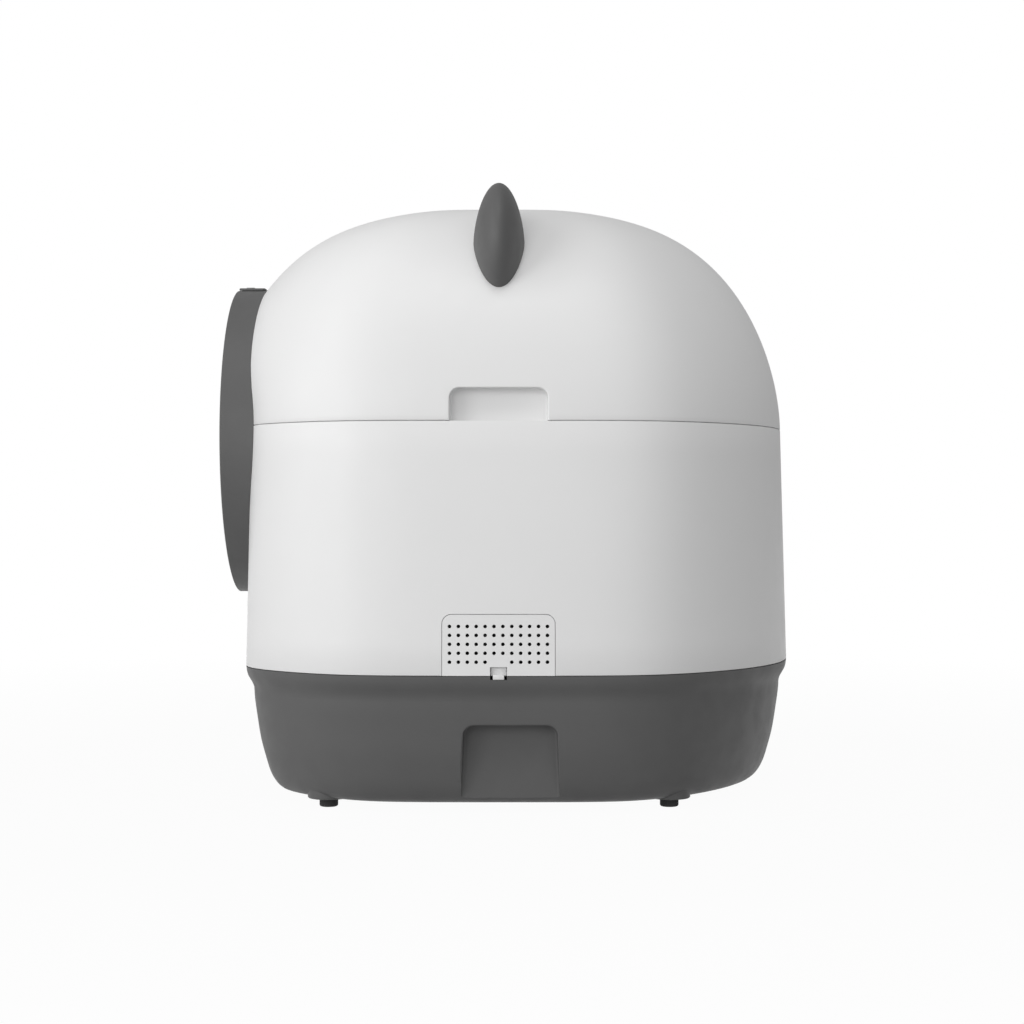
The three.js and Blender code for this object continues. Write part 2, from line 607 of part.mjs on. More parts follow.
// Entry ring: a wall and a curved face, with bosses for its screws, a rolled edge round the bore and a
// collar round the liner's end. Its lower half seats on the body, and its upper half runs on into the dome
function ringFace() {
  const inner = RING_BORE + ring.roll;
  const power = 2 / ring.facePower;
  return Array.from({ length: FACE_STEPS }, (_, i) => {
    const angle = ((i / FACE_STEPS) * Math.PI) / 2;
    return [
      inner + (ring.radius - inner) * Math.cos(angle) ** power,
      RING_FRONT + ring.faceSet * (1 - Math.sin(angle) ** power),
    ];
  });
}
const LINER_FRONT = RING_FRONT + ring.roll + ring.lipLength + GAP;
const LINER_BACK = RING_FRONT + liner.inside;

function entryRing() {
  const back = -HIGH_PLAN.front + OVERRUN;
  const inner = LINER_R + GAP;
  const outline = [
    [inner, back], [ring.radius, back], ...ringFace(),
    ...arc(RING_BORE + ring.roll, RING_FRONT + ring.roll, ring.roll, -90, -180, 2),
    [RING_BORE, LINER_FRONT - GAP], [inner, LINER_FRONT - GAP], [inner, back],
  ];
  const hollow = [
    [inner - RUN, back + RUN], [ring.radius - WALL, back + RUN],
    [ring.radius - WALL, RING_FRONT + ring.faceSet + WALL], [RING_BORE + ring.roll, RING_FRONT + WALL],
    [inner + WALL, LINER_FRONT], [inner + WALL, LINER_FRONT + ring.collar],
    [inner - RUN, LINER_FRONT + ring.collar], [inner - RUN, back + RUN],
  ];
  const bosses = ringScrewPlaces.map(({ x, z }) =>
    alongYAt(x, z, rod(ringScrew.boss, RING_FRONT + WALL / 2, back), SMALL_SIDES),
  );
  const boardFront = RING_FRONT + panelBoard.front;
  const panelPosts = signs.map((sx) =>
    block(
      [
        sx * panelBoard.postX - panelBoard.postHalf,
        boardFront + panelBoard.postHalf,
        AXIS_Z + inner + WALL / 2,
      ],
      [
        sx * panelBoard.postX + panelBoard.postHalf,
        boardFront + panelBoard.postHalf + panelBoard.postDepth,
        AXIS_Z + BOARD_R - panelBoard.thick - GAP,
      ],
    ),
  );
  const wall = bodyForm(-GAP, SEAM_LOW, SEAM_HIGH + GAP);
  const holes = [
    ...ringScrewPlaces.map(({ x, z, inside }) =>
      alongYAt(x, z, screwHole(inside - screw.length - RUN, back), TINY_SIDES),
    ),
    ...buttonPlaces.map((angle) =>
      spokeAt(angle, BUTTON_Y, rod(button.stem + GAP, BOARD_R, ring.radius + OVERRUN), TINY_SIDES),
    ),
    alongYAt(0, LENS_Z, rod(lens.radius + GAP, RING_FRONT - OVERRUN, LINER_FRONT), SMALL_SIDES),
  ];
  const made = aboutAxis(outline).subtract(aboutAxis(hollow));
  return joined([made, ...bosses, ...panelPosts]).subtract(joined([wall, ...holes]));
}

// Liner: the tunnel from the ring into the drum's mouth, and the seal round its end
const entryLiner = () => aboutAxis(tube(RING_BORE, LINER_R, LINER_FRONT, LINER_BACK));
const mouthSeal = () => aboutAxis(tube(LINER_R + GAP, MOUTH_R - RUN, LINER_BACK - seal.thick, LINER_BACK));

// Control panel on top of the ring, with three buttons over a small board, and a lens
const BUTTON_Y = RING_FRONT + panel.front + button.place;
const buttonNames = ["button_power", "button_clean", "button_level"];
const BUTTON_ANGLE = button.pitch / ring.radius;
const buttonPlaces = buttonNames.map((_, i) => (i - (buttonNames.length - 1) / 2) * BUTTON_ANGLE);
const PANEL_IN = ring.radius + GAP;
const PANEL_OUT = PANEL_IN + panel.thick;

function controlPanel() {
  const front = RING_FRONT + panel.front;
  const band = aboutAxis(tube(PANEL_IN, PANEL_OUT, front, front + panel.depth));
  const well = rod(button.radius + GAP, PANEL_IN - button.travel - RUN, PANEL_OUT + RUN);
  const wells = buttonPlaces.map((angle) => spokeAt(angle, BUTTON_Y, well, SMALL_SIDES));
  const cap = block([-panel.half, RING_FRONT, AXIS_Z], [panel.half, 0, TOP]);
  return band.intersect(cap).subtract(joined([domeForm(-RUN, SEAM_HIGH), ...wells]));
}

function buttonAt(angle) {
  const pressed = (BOARD_R + GAP + button.stem * Math.sin(Math.abs(angle))) / Math.cos(angle);
  const footEnd = pressed + button.travel;
  const shoulder = PANEL_IN + button.travel;
  const top = PANEL_OUT + button.proud;
  const profile = [
    [0, footEnd], [button.stem, footEnd], [button.stem, shoulder], [button.radius, shoulder],
    [button.radius, top], [0, top],
  ];
  return spokeAt(angle, BUTTON_Y, profile, SMALL_SIDES);
}

function panelBoardPlate() {
  const front = RING_FRONT + panelBoard.front;
  const back = front + panelBoard.depth;
  const top = AXIS_Z + BOARD_R;
  return block([-panelBoard.half, front, top - panelBoard.thick], [panelBoard.half, back, top]);
}
const presenceLens = () => {
  const front = RING_FRONT + lens.set;
  return alongYAt(0, LENS_Z, rod(lens.radius, front, front + lens.depth), SMALL_SIDES);
};

// Drum: its outline in front of and behind the joint, drawn in by a wall
function frontCurve(by) {
  const [low, high] = [MOUTH_R + WALL - by, DRUM_R - by];
  const reach = drum.mouthPlace - drum.neck - drum.frontStraight;
  const shoulder = Array.from({ length: SHOULDER_STEPS + 1 }, (_, i) => {
    const angle = ((i / SHOULDER_STEPS) * Math.PI) / 2;
    return [low + (high - low) * Math.sin(angle), -drum.frontStraight - reach * Math.cos(angle)];
  });
  return [[low, -drum.mouthPlace], ...shoulder];
}

function drumFront() {
  const flange = -drum.joint - drum.flangeWidth;
  const rim = DRUM_R + drum.flangeRise;
  return aboutAxis([
    ...frontCurve(0), [DRUM_R, flange], [rim, flange], [rim, -drum.joint], [DRUM_R - WALL, -drum.joint],
    ...frontCurve(WALL).reverse(), frontCurve(0)[0],
  ]);
}

function backCurve(by) {
  return Array.from({ length: SHOULDER_STEPS + 1 }, (_, i) => {
    const angle = ((i / SHOULDER_STEPS) * Math.PI) / 2;
    const reach = drum.backPlace - by - drum.backStraight;
    const across = drum.backRadius - by + (DRUM_R - drum.backRadius) * Math.cos(angle);
    return [across, drum.backStraight + reach * Math.sin(angle)];
  });
}

function drumRear() {
  const start = -drum.joint + GAP;
  const rim = DRUM_R + drum.flangeRise;
  const shell = aboutAxis([
    [0, drum.backPlace - WALL], ...backCurve(WALL).reverse(), [DRUM_R - WALL, start], [rim, start],
    [rim, start + drum.flangeWidth], [DRUM_R, start + drum.flangeWidth], ...backCurve(0), [0, drum.backPlace],
  ]);
  return shell.subtract(portBox(port.collar + GAP));
}

// Waste port: at the top of the drum at rest, with a collar and a flange outside
function portBox(grow) {
  const half = port.half + grow;
  return block([-half, port.place - half, AXIS_Z + drum.backRadius], [half, port.place + half, TOP]);
}

function portFrame() {
  const [front, back] = [-drum.joint, drum.backStraight];
  const outer = DRUM_R + port.proud;
  const band = (inner) => aboutAxis(tube(inner, outer, front, back));
  const collar = portBox(port.collar).intersect(band(DRUM_R - WALL - port.inward));
  const flange = portBox(port.collar + port.flange).intersect(band(DRUM_R + GAP));
  return collar.add(flange).subtract(portBox(0));
}

// Sieve: a slotted plate across the drum beside the port; litter falls through it, clumps slide over it
function drumSieve() {
  const inside = DRUM_R - WALL;
  const turn = -THREE.MathUtils.degToRad(sieve.angle);
  const place = inside * Math.cos(THREE.MathUtils.degToRad(sieve.reach));
  const chord = inside * Math.sin(THREE.MathUtils.degToRad(sieve.reach));
  const [near, far] = [place - sieve.thick / 2, place + sieve.thick / 2];
  const wide = chord + sieve.end;
  const plate = turnedBlock([near, -sieve.front, -wide], [far, sieve.back, wide], turn);
  const pitch = sieve.slot + sieve.bar;
  const room = sieve.front + sieve.back - 2 * sieve.margin + sieve.bar;
  const slots = Array.from({ length: Math.floor(room / pitch) }, (_, i) => {
    const y = -sieve.front + sieve.margin + i * pitch;
    const reach = chord - sieve.end;
    return turnedBlock([near - RUN, y, -reach], [far + RUN, y + sieve.slot, reach], turn);
  });
  const fit = aboutAxis(rod(inside - GAP, -sieve.front - RUN, sieve.back + RUN));
  return plate.intersect(fit).subtract(joined(slots));
}

// A toothed outline round a centre, with one tooth at the given angle. Its flanks join points of the
// involute: the root, the base circle where the root lies inside it, and the tip
const involute = (angle) => Math.tan(angle) - angle;

function toothed(teeth, pitchRadius, x, z, start) {
  const base = pitchRadius * Math.cos(PRESSURE_ANGLE);
  const low = pitchRadius - gear.dedendumShare * MODULE;
  const high = pitchRadius + gear.addendumShare * MODULE;
  const half = (Math.PI * MODULE - gear.backlash) / 4 / pitchRadius;
  const flank = (low < base ? [low, base, high] : [low, high]).map((radius) => {
    const pressure = Math.acos(Math.min(1, base / radius));
    return [radius, half + involute(PRESSURE_ANGLE) - involute(pressure)];
  });
  const tooth = [...flank.map(([radius, aside]) => [radius, -aside]), ...flank.reverse()];
  const shape = new THREE.Shape();
  for (let i = 0; i < teeth; i++) {
    const middle = start + (i * 2 * Math.PI) / teeth;
    tooth.forEach(([radius, aside], k) => {
      const angle = middle + aside;
      const place = [x + radius * Math.cos(angle), z + radius * Math.sin(angle)];
      if (i === 0 && k === 0) shape.moveTo(...place);
      else shape.lineTo(...place);
    });
  }
  return shape;
}

function ringGear() {
  const [from, to] = [gear.place - gear.width / 2, gear.place + gear.width / 2];
  const teeth = pushedY(toothed(gear.teeth, PITCH_R, 0, AXIS_Z, 0), from, to);
  return teeth.subtract(aboutAxis(rod(DRUM_R + GAP, from - RUN, to + RUN)));
}

// Pinion on the motor's shaft
const PINION_FRONT = gear.place - pinion.width / 2;
const BRACKET_FRONT = PINION_FRONT - bracket.behind - bracket.thick;
const MOTOR_BACK = BRACKET_FRONT - GAP;

function drivePinion() {
  const shape = toothed(pinion.teeth, PINION_R, PINION_X, PINION_Z, PINION_ANGLE + Math.PI);
  const bore = rod(pinion.shaft + GAP, PINION_FRONT - RUN, PINION_FRONT + pinion.width + RUN);
  const made = pushedY(shape, PINION_FRONT, PINION_FRONT + pinion.width);
  return made.subtract(alongYAt(PINION_X, PINION_Z, bore, SMALL_SIDES));
}
const driveShaft = () => {
  const ends = [MOTOR_BACK - motor.socket + RUN, PINION_FRONT + pinion.width + RUN];
  return alongYAt(PINION_X, PINION_Z, rod(pinion.shaft, ...ends), SMALL_SIDES);
};

function gearMotor() {
  const boxFront = MOTOR_BACK - motor.boxLength;
  const half = motor.boxHalf;
  const box = block(
    [PINION_X - half, boxFront, PINION_Z - half],
    [PINION_X + half, MOTOR_BACK, PINION_Z + half],
  );
  const can = rod(motor.canRadius, boxFront - motor.canLength, boxFront + RUN);
  const socket = rod(pinion.shaft + GAP, MOTOR_BACK - motor.socket, MOTOR_BACK + RUN);
  return box
    .add(alongYAt(PINION_X, PINION_Z, can, MEDIUM_SIDES))
    .subtract(alongYAt(PINION_X, PINION_Z, socket, SMALL_SIDES));
}

function motorBracket() {
  const back = BRACKET_FRONT + bracket.thick;
  const bottom = DECK_TOP + GAP;
  const [left, right] = [PINION_X - bracket.half, PINION_X + bracket.half];
  const plate = block([left, BRACKET_FRONT, bottom], [right, back, PINION_Z + bracket.half]);
  const flange = block([left, back - bracket.foot, bottom], [right, back, bottom + bracket.thick]);
  const hole = rod(bracket.shaftHole, BRACKET_FRONT - RUN, back + RUN);
  return plate.add(flange).subtract(alongYAt(PINION_X, PINION_Z, hole, SMALL_SIDES));
}

// Rollers, axles, and the deck whose towers hold them
const rollerPlaces = corners.map(([sx, sy]) => [sx * ROLLER_X, sy * roller.place]);
const TOWER_IN = roller.width / 2 + RUN;
const TOWER_OUT = TOWER_IN + tower.thick;

function rollerAt([x, y]) {
  const profile = tube(roller.axle + RUN / 2, roller.radius, y - roller.width / 2, y + roller.width / 2);
  return alongYAt(x, ROLLER_Z, profile, SMALL_SIDES);
}
function axleAt([x, y]) {
  const reach = TOWER_OUT + roller.axleEnd;
  return alongYAt(x, ROLLER_Z, rod(roller.axle, y - reach, y + reach), TINY_SIDES);
}

function deckPlate() {
  const plan = inset(LOW_PLAN, LIP_INSIDE + GAP);
  const plate = planSolid([DECK_BOTTOM, DECK_TOP].map((z) => ({ z, plan })), INNER_SIDES);
  const chute = (grow, from, to) => {
    const [x, y] = [CHUTE_X + grow, deck.chuteY + grow];
    return pushedZ(rounded(-x, x, -y, y, deck.corner + grow, deck.corner + grow), from, to);
  };
  const towers = rollerPlaces.flatMap(([x, y]) =>
    signs.map((sy) => {
      const ends = [y + sy * TOWER_IN, y + sy * TOWER_OUT].sort((a, b) => a - b);
      return block([x - tower.half, ends[0], DECK_BOTTOM], [x + tower.half, ends[1], ROLLER_Z + tower.over]);
    }),
  );
  const cuts = [
    chute(0, DECK_BOTTOM - OVERRUN, DECK_TOP + OVERRUN),
    ...corners.map(([sx, sy]) =>
      uprightAt(sx * POST_X, sy * post.y, screwHole(DECK_BOTTOM - RUN, DECK_TOP + RUN), TINY_SIDES),
    ),
    ...rollerPlaces.map(([x, y]) =>
      alongYAt(x, ROLLER_Z, rod(roller.axle + GAP, y - TOWER_OUT - RUN, y + TOWER_OUT + RUN), TINY_SIDES),
    ),
  ];
  return joined([plate, chute(deck.collarThick, DECK_BOTTOM - deck.collar, DECK_TOP), ...towers]).subtract(
    joined(cuts),
  );
}
const deckScrewAt = ([sx, sy]) => {
  const profile = shifted(screwProfile(-1), DECK_TOP + GAP);
  return uprightAt(sx * POST_X, sy * post.y, profile, TINY_SIDES);
};
const ringScrewAt = ({ x, z, inside }) => alongYAt(x, z, shifted(screwProfile(-1), inside + GAP), TINY_SIDES);

// Waste drawer: a tray, its front, which carries the base's curve across the opening, and a bag frame
function drawerTray() {
  const shape = (by, corner) =>
    rounded(-DRAWER_HALF + by, DRAWER_HALF - by, -drawer.front + by, drawer.back - by, corner, corner);
  const outside = pushedZ(shape(0, drawer.corner), DRAWER_BOTTOM, DRAWER_TOP);
  return outside.subtract(pushedZ(shape(WALL, drawer.corner - WALL), DRAWER_BOTTOM + WALL, TOP));
}

function drawerFront() {
  const [low, high] = [DRAWER_BOTTOM, DRAWER_BOTTOM + drawer.faceHeight];
  const half = FACE_HALF;
  const curve = baseForm(0);
  const slab = curve.intersect(block([-half, RING_FRONT, low], [half, -drawer.front - GAP, high]));
  const hollow = baseForm(drawer.skin, SEAM_LOW, INNER_SIDES).intersect(
    block([-half + WALL, RING_FRONT, low + WALL], [half - WALL, -drawer.front + RUN, high - WALL]),
  );
  const grip = (grow) => {
    const [x, z0, z1] = [pull.half + grow, low + pull.low - grow, low + pull.high + grow];
    const shape = rounded(-x, x, z0, z1, pull.corner + grow, pull.corner + grow);
    return pushedY(shape, RING_FRONT, -(FRONT - pull.inset) + grow);
  };
  return slab.subtract(hollow).add(grip(pull.wall).intersect(curve)).subtract(grip(0));
}

function bagRing() {
  const [low, high] = [DRAWER_TOP + GAP, DRAWER_TOP + GAP + bagFrame.thick];
  const outer = rounded(-DRAWER_HALF, DRAWER_HALF, -drawer.front, drawer.back, drawer.corner, drawer.corner);
  const inner = rounded(
    -DRAWER_HALF + bagFrame.side, DRAWER_HALF - bagFrame.side, -drawer.front + bagFrame.end,
    drawer.back - bagFrame.end, bagFrame.corner, bagFrame.corner,
  );
  return pushedZ(outer, low, high).subtract(pushedZ(inner, low - RUN, high + RUN));
}

// Filter door: a piece of the body's side with vents, hooks at its top and ribs for its latch
function filterDoor() {
  const skin = bodyForm(0, SEAM_LOW + SEAM_GAP, SEAM_HIGH).subtract(
    bodyForm(door.thick, SEAM_LOW - OVERRUN, SEAM_HIGH + OVERRUN),
  );
  const hookFace = sideFace(DOOR_TOP + hook.rise, WALL) - GAP;
  const hooks = signs.flatMap((sy) => {
    const [y0, y1] = [sy * hook.place - hook.half, sy * hook.place + hook.half];
    const back = hookFace - hook.thick;
    return [
      block([back, y0, DOOR_TOP - hook.root], [hookFace, y1, DOOR_TOP + hook.rise]),
      block([back, y0, DOOR_TOP - hook.root], [sideFace(DOOR_TOP, door.thick / 2), y1, DOOR_TOP - RUN]),
    ];
  });
  const inner = sideFace(SEAM_LOW + rib.high, door.thick);
  const ribs = signs.map((sy) => {
    const near = latch.stemHalf + GAP;
    const ends = [sy * near, sy * (near + rib.thick)].sort((a, b) => a - b);
    return block(
      [inner - rib.depth, ends[0], SEAM_LOW + rib.low],
      [inner + door.thick / 2, ends[1], SEAM_LOW + rib.high],
    );
  });
  const pins = [];
  for (let column = 0; column < vent.columns; column++) {
    const y = (column - (vent.columns - 1) / 2) * vent.pitch;
    for (let row = 0; row < vent.rows; row++) {
      if (row === 0 && Math.abs(y) < (vent.skip / 2) * vent.pitch) continue;
      const z = SEAM_LOW + vent.bottom + row * vent.pitch;
      pins.push(alongXAt(y, z, rod(vent.radius, BAY_FACE, SIDE + OVERRUN), VENT_SIDES));
    }
  }
  const notchCut = block(
    [BAY_FACE, -latch.slotHalf, SEAM_LOW - OVERRUN],
    [SIDE + OVERRUN, latch.slotHalf, SEAM_LOW + latch.notch],
  );
  const plate = skin.intersect(doorPrism(0)).subtract(joined([notchCut, ...pins]));
  return joined([plate, ...hooks, ...ribs]);
}

function doorLatch() {
  const [inner, low] = [SIDE_FACE - latch.depth, SEAM_LOW - latch.below];
  const stem = block(
    [inner, -latch.stemHalf, SEAM_LOW],
    [inner + latch.stem, latch.stemHalf, SEAM_LOW + latch.rise],
  );
  const tongue = block(
    [inner, -latch.half, low],
    [SIDE_FACE - latch.set, latch.half, SEAM_LOW + latch.above],
  );
  return stem.add(tongue);
}

function filterCartridge() {
  const half = door.half - bay.shoulder - GAP;
  const low = SEAM_LOW + SEAM_GAP + bay.wall + GAP;
  const front = BAY_FACE + GAP;
  return block([front, -half, low], [front + cartridge.depth, half, low + cartridge.height]);
}

// Foot: a chamfered pad with a stem
function footPad([sx, sy]) {
  const top = FLOOR_GAP - GAP;
  const profile = [
    [0, 0], [foot.pad - foot.chamfer, 0], [foot.pad, foot.chamfer], [foot.pad, top],
    [foot.stem, top], [foot.stem, FLOOR_GAP + foot.stemLength], [0, FLOOR_GAP + foot.stemLength],
  ];
  return uprightAt(sx * FOOT_X, sy * foot.y, profile, TINY_SIDES);
}

// Electronics at the back of the base
function controlBoard() {
  const low = BASE_FLOOR + board.rise;
  return block([-board.half, board.front, low], [board.half, board.front + board.depth, low + board.thick]);
}

function boardCover() {
  const half = board.half + cover.margin;
  const [front, back] = [board.front - cover.margin, board.front + board.depth + cover.margin];
  const low = BASE_FLOOR + GAP;
  const box = block([-half, front, low], [half, back, low + cover.height]);
  const room = block(
    [-half + cover.wall, front + cover.wall, low - RUN],
    [half - cover.wall, back - cover.wall, low + cover.height - cover.wall],
  );
  return box.subtract(room);
}

function powerInlet() {
  const end = INLET_Y + inlet.flangeOut;
  const at = (radius, from, to) => alongYAt(inlet.x, INLET_Z, rod(radius, from, to), SMALL_SIDES);
  const flange = at(inlet.flange, INLET_Y - inlet.barrel, end).subtract(baseForm(-GAP));
  const barrel = at(inlet.barrel, INLET_Y - inlet.inward, end);
  return flange.add(barrel).subtract(at(inlet.bore, end - inlet.boreDepth, end + RUN));
}

// Shells
piece("base_tub", baseTub(), dark());
piece("body_shell", bodyShell(), white());
piece("dome_cover", domeCover(), white());
for (const [side, word] of [[-1, "left"], [1, "right"]]) {
  piece(`ear_${word}`, earOn(side), dark());
  piece(`ear_nut_${word}`, earNutOn(side), grey());
}

// Entry
piece("entry_ring", entryRing(), dark());
piece("entry_liner", entryLiner(), dark());
piece("mouth_seal", mouthSeal(), rubber());
piece("control_panel", controlPanel(), dark());
buttonNames.forEach((name, i) => piece(name, buttonAt(buttonPlaces[i]), grey()));
piece("panel_board", panelBoardPlate(), laminate());
piece("presence_lens", presenceLens(), black());

// Drum and drive
piece("drum_front", drumFront(), grey());
piece("drum_rear", drumRear(), grey());
piece("drum_sieve", drumSieve(), grey());
piece("waste_port_frame", portFrame(), grey());
piece("ring_gear", ringGear(), nylon());
piece("drive_pinion", drivePinion(), nylon());
piece("drive_shaft", driveShaft(), steel());
piece("gear_motor", gearMotor(), steel());
piece("motor_bracket", motorBracket(), steel());
rollerPlaces.forEach((place, i) => {
  piece(`roller_${i + 1}`, rollerAt(place), nylon());
  piece(`roller_axle_${i + 1}`, axleAt(place), steel());
});
piece("deck_plate", deckPlate(), grey());

// Drawer
piece("drawer_tray", drawerTray(), dark());
piece("drawer_front", drawerFront(), dark());
piece("bag_frame", bagRing(), grey());

// Filter
piece("filter_door", filterDoor(), white());
piece("filter_latch", doorLatch(), white());
piece("filter_cartridge", filterCartridge(), carbon());

// Electronics, feet and screws
piece("control_board", controlBoard(), laminate());
piece("board_cover", boardCover(), grey());
piece("power_inlet", powerInlet(), black());
corners.forEach((place, i) => piece(`foot_pad_${i + 1}`, footPad(place), rubber()));
corners.forEach((place, i) => piece(`deck_screw_${i + 1}`, deckScrewAt(place), steel()));
ringScrewPlaces.forEach((place, i) => piece(`ring_screw_${i + 1}`, ringScrewAt(place), steel()));

const group = new THREE.Group();
group.add(housing);

export default group;
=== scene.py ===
"""Looks of a self-cleaning litter box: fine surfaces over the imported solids, their materials, and a plain
studio. Sizes are in millimetres in the plan's frame, as in the part's source; objects are in metres."""

import json
import math

import bmesh
import bpy
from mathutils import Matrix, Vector


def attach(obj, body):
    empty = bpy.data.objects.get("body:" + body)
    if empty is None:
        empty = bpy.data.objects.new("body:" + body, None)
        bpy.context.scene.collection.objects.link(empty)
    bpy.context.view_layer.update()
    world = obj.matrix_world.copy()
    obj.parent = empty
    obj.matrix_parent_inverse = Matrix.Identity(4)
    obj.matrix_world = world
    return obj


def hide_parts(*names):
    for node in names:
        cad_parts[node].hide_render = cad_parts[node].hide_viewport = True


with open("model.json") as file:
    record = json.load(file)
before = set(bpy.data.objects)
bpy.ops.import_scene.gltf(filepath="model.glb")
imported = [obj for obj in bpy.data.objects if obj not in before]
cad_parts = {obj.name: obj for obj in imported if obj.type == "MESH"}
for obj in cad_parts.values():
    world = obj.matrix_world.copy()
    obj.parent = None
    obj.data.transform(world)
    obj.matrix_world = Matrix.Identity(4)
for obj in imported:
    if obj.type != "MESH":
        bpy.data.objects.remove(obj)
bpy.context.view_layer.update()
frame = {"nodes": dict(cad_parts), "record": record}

MM = 0.001

# Sizes of the part, as in its source
WALL = 3
GAP = 0.3
SEAM_GAP = 0.5
FLOOR_GAP = 7.9
BASE_H = 116.4
BODY_H = 223.6
DOME_H = 212.5
SEAM_LOW = FLOOR_GAP + BASE_H
SEAM_HIGH = SEAM_LOW + BODY_H
TOP = SEAM_HIGH + DOME_H
BASE_FLOOR = FLOOR_GAP + WALL
LOW_PLAN = (256, 283.3, 239.7)
HIGH_PLAN = (247, 277.3, 235.5)
FRONT_FADE = 265
CORNER_POWER = 26
DOME_RISE_POWER = 1.75
DOME_ROUND_POWER = 3.42
BASE_TUCK = 46
BASE_SIDE_SHARES = [
    (0, 1), (0.012, 0.84), (0.03, 0.72), (0.08, 0.59), (0.16, 0.483), (0.27, 0.396), (0.42, 0.298),
    (0.6, 0.224), (0.76, 0.17), (0.835, 0.158), (0.895, 0.084), (0.945, 0.02), (1, 0),
]
LIP = {"height": 5, "thick": 2.5, "root": 6, "root_inset": 1.5, "ledge": 0.2, "step": 0.01}
RING_R = 149.6
RING_BORE = 120
RING_ROLL = 9
RING_FRONT = -261.2
RING_FACE = 3
AXIS_Z = SEAM_HIGH - 9.5
LINER_R = 123
OPENING_R = 124
PLAN_Y = (-RING_FRONT - LOW_PLAN[1]) / 2
DRUM_HEADROOM = 23
DRUM_R = TOP - WALL - DRUM_HEADROOM - AXIS_Z
SHOULDER_Y = -95
SCREW_HOLE = 2.1

# Sides of round forms, from the large ones to the holes
FINE_SIDES = 256
SIDES = 192
MEDIUM_SIDES = 48
SMALL_SIDES = 40
HOLE_SIDES = 32

# How far a form runs past what it cuts or joins: a little, more, and out past the part's side and front
NICK = 0.02
RUN = 1
OVER = 15
FAR = 285
AHEAD = -300

# The rounding of a shell's rim, and how far under the outer surface an added piece ends
RIM = 0.6
BASE_RIM = 0.7
SKIN = 0.05
DEEP_SKIN = 0.2

# Points closer than this, in metres, are one point, and shorter edges than this have no length
SAME_PLACE = 2e-7
NO_LENGTH = 1e-8
HALVINGS = 40


def mesh_object(name, verts, faces):
    """A mesh from millimetre points in the plan's frame."""
    mesh = bpy.data.meshes.new(name)
    mesh.from_pydata([((x * MM), (y + PLAN_Y) * MM, z * MM) for x, y, z in verts], [], faces)
    mesh.update()
    made = bpy.data.objects.new(name, mesh)
    bpy.context.scene.collection.objects.link(made)
    return made


def tidy(made):
    """Merges points that coincide and turns all faces outwards."""
    work = bmesh.new()
    work.from_mesh(made.data)
    bmesh.ops.remove_doubles(work, verts=work.verts, dist=SAME_PLACE)
    bmesh.ops.dissolve_degenerate(work, dist=NO_LENGTH, edges=work.edges)
    bmesh.ops.recalc_face_normals(work, faces=work.faces)
    if work.calc_volume(signed=True) < 0:
        bmesh.ops.reverse_faces(work, faces=work.faces)
    work.to_mesh(made.data)
    work.free()
    return made


def loft(name, rings):
    """A closed solid through rings of points, with its two ends capped."""
    n = len(rings[0])
    verts = [point for ring in rings for point in ring]
    faces = []
    for r in range(len(rings) - 1):
        a, b = r * n, (r + 1) * n
        faces += [(a + i, a + (i + 1) % n, b + (i + 1) % n, b + i) for i in range(n)]
    faces.append(tuple(reversed(range(n))))
    faces.append(tuple(range((len(rings) - 1) * n, len(rings) * n)))
    return tidy(mesh_object(name, verts, faces))


def lathe(name, profile, sides, place):
    """A solid turned from a profile of (radius, along) points, which closes on itself or on its axis."""
    rows = [[place(r, along, 2 * math.pi * i / sides) for i in range(sides)] for r, along in profile]
    verts = [point for row in rows for point in row]
    count = len(rows)
    closed = not (profile[0][0] == 0 and profile[-1][0] == 0)
    faces = []
    for k in range(count if closed else count - 1):
        a, b = k * sides, ((k + 1) % count) * sides
        faces += [(a + i, a + (i + 1) % sides, b + (i + 1) % sides, b + i) for i in range(sides)]
    return tidy(mesh_object(name, verts, faces))


def about_axis(name, profile, sides=SIDES):
    return lathe(name, profile, sides, lambda r, y, a: (r * math.cos(a), y, AXIS_Z + r * math.sin(a)))


def along_y(name, x, z, profile, sides=HOLE_SIDES):
    return lathe(name, profile, sides, lambda r, y, a: (x + r * math.cos(a), y, z + r * math.sin(a)))


def along_x(name, y, z, profile, sides=HOLE_SIDES):
    return lathe(name, profile, sides, lambda r, x, a: (x, y + r * math.cos(a), z + r * math.sin(a)))


def upright(name, x, y, profile, sides=HOLE_SIDES):
    return lathe(name, profile, sides, lambda r, z, a: (x + r * math.cos(a), y + r * math.sin(a), z))


def spoke(name, angle, y, profile, sides=HOLE_SIDES):
    """A solid turned about a spoke of the drum's axis, at an angle from the vertical."""
    def place(r, along, a):
        u, v = r * math.cos(a), r * math.sin(a)
        return (
            along * math.sin(angle) + u * math.cos(angle), y + v,
            AXIS_Z + along * math.cos(angle) - u * math.sin(angle),
        )
    return lathe(name, profile, sides, place)


def leaning(name, side, profile):
    """A solid turned about the ear's peg, which leans inwards at 45 degrees."""
    half = math.sqrt(0.5)

    def place(r, along, a):
        u, v = r * math.cos(a), r * math.sin(a)
        return (side * (EAR_X + (along + u) * half), v, EAR_Z + (along - u) * half)
    return lathe(name, profile, HOLE_SIDES, place)


def rod(radius, start, end):
    return [(0, start), (radius, start), (radius, end), (0, end)]


def soft_rod(radius, start, end, edge, steps=4):
    """A rod's profile with rounded ends."""
    low = arc(radius - edge, start + edge, edge, -90, 0, steps)
    high = arc(radius - edge, end - edge, edge, 0, 90, steps)
    return [(0, start), *low, *high, (0, end)]


def tube(inner, outer, start, end):
    return [(inner, start), (outer, start), (outer, end), (inner, end)]


def arc(r, along, radius, start, end, steps):
    angles = [math.radians(start + (end - start) * i / steps) for i in range(steps + 1)]
    return [(r + radius * math.cos(a), along + radius * math.sin(a)) for a in angles]


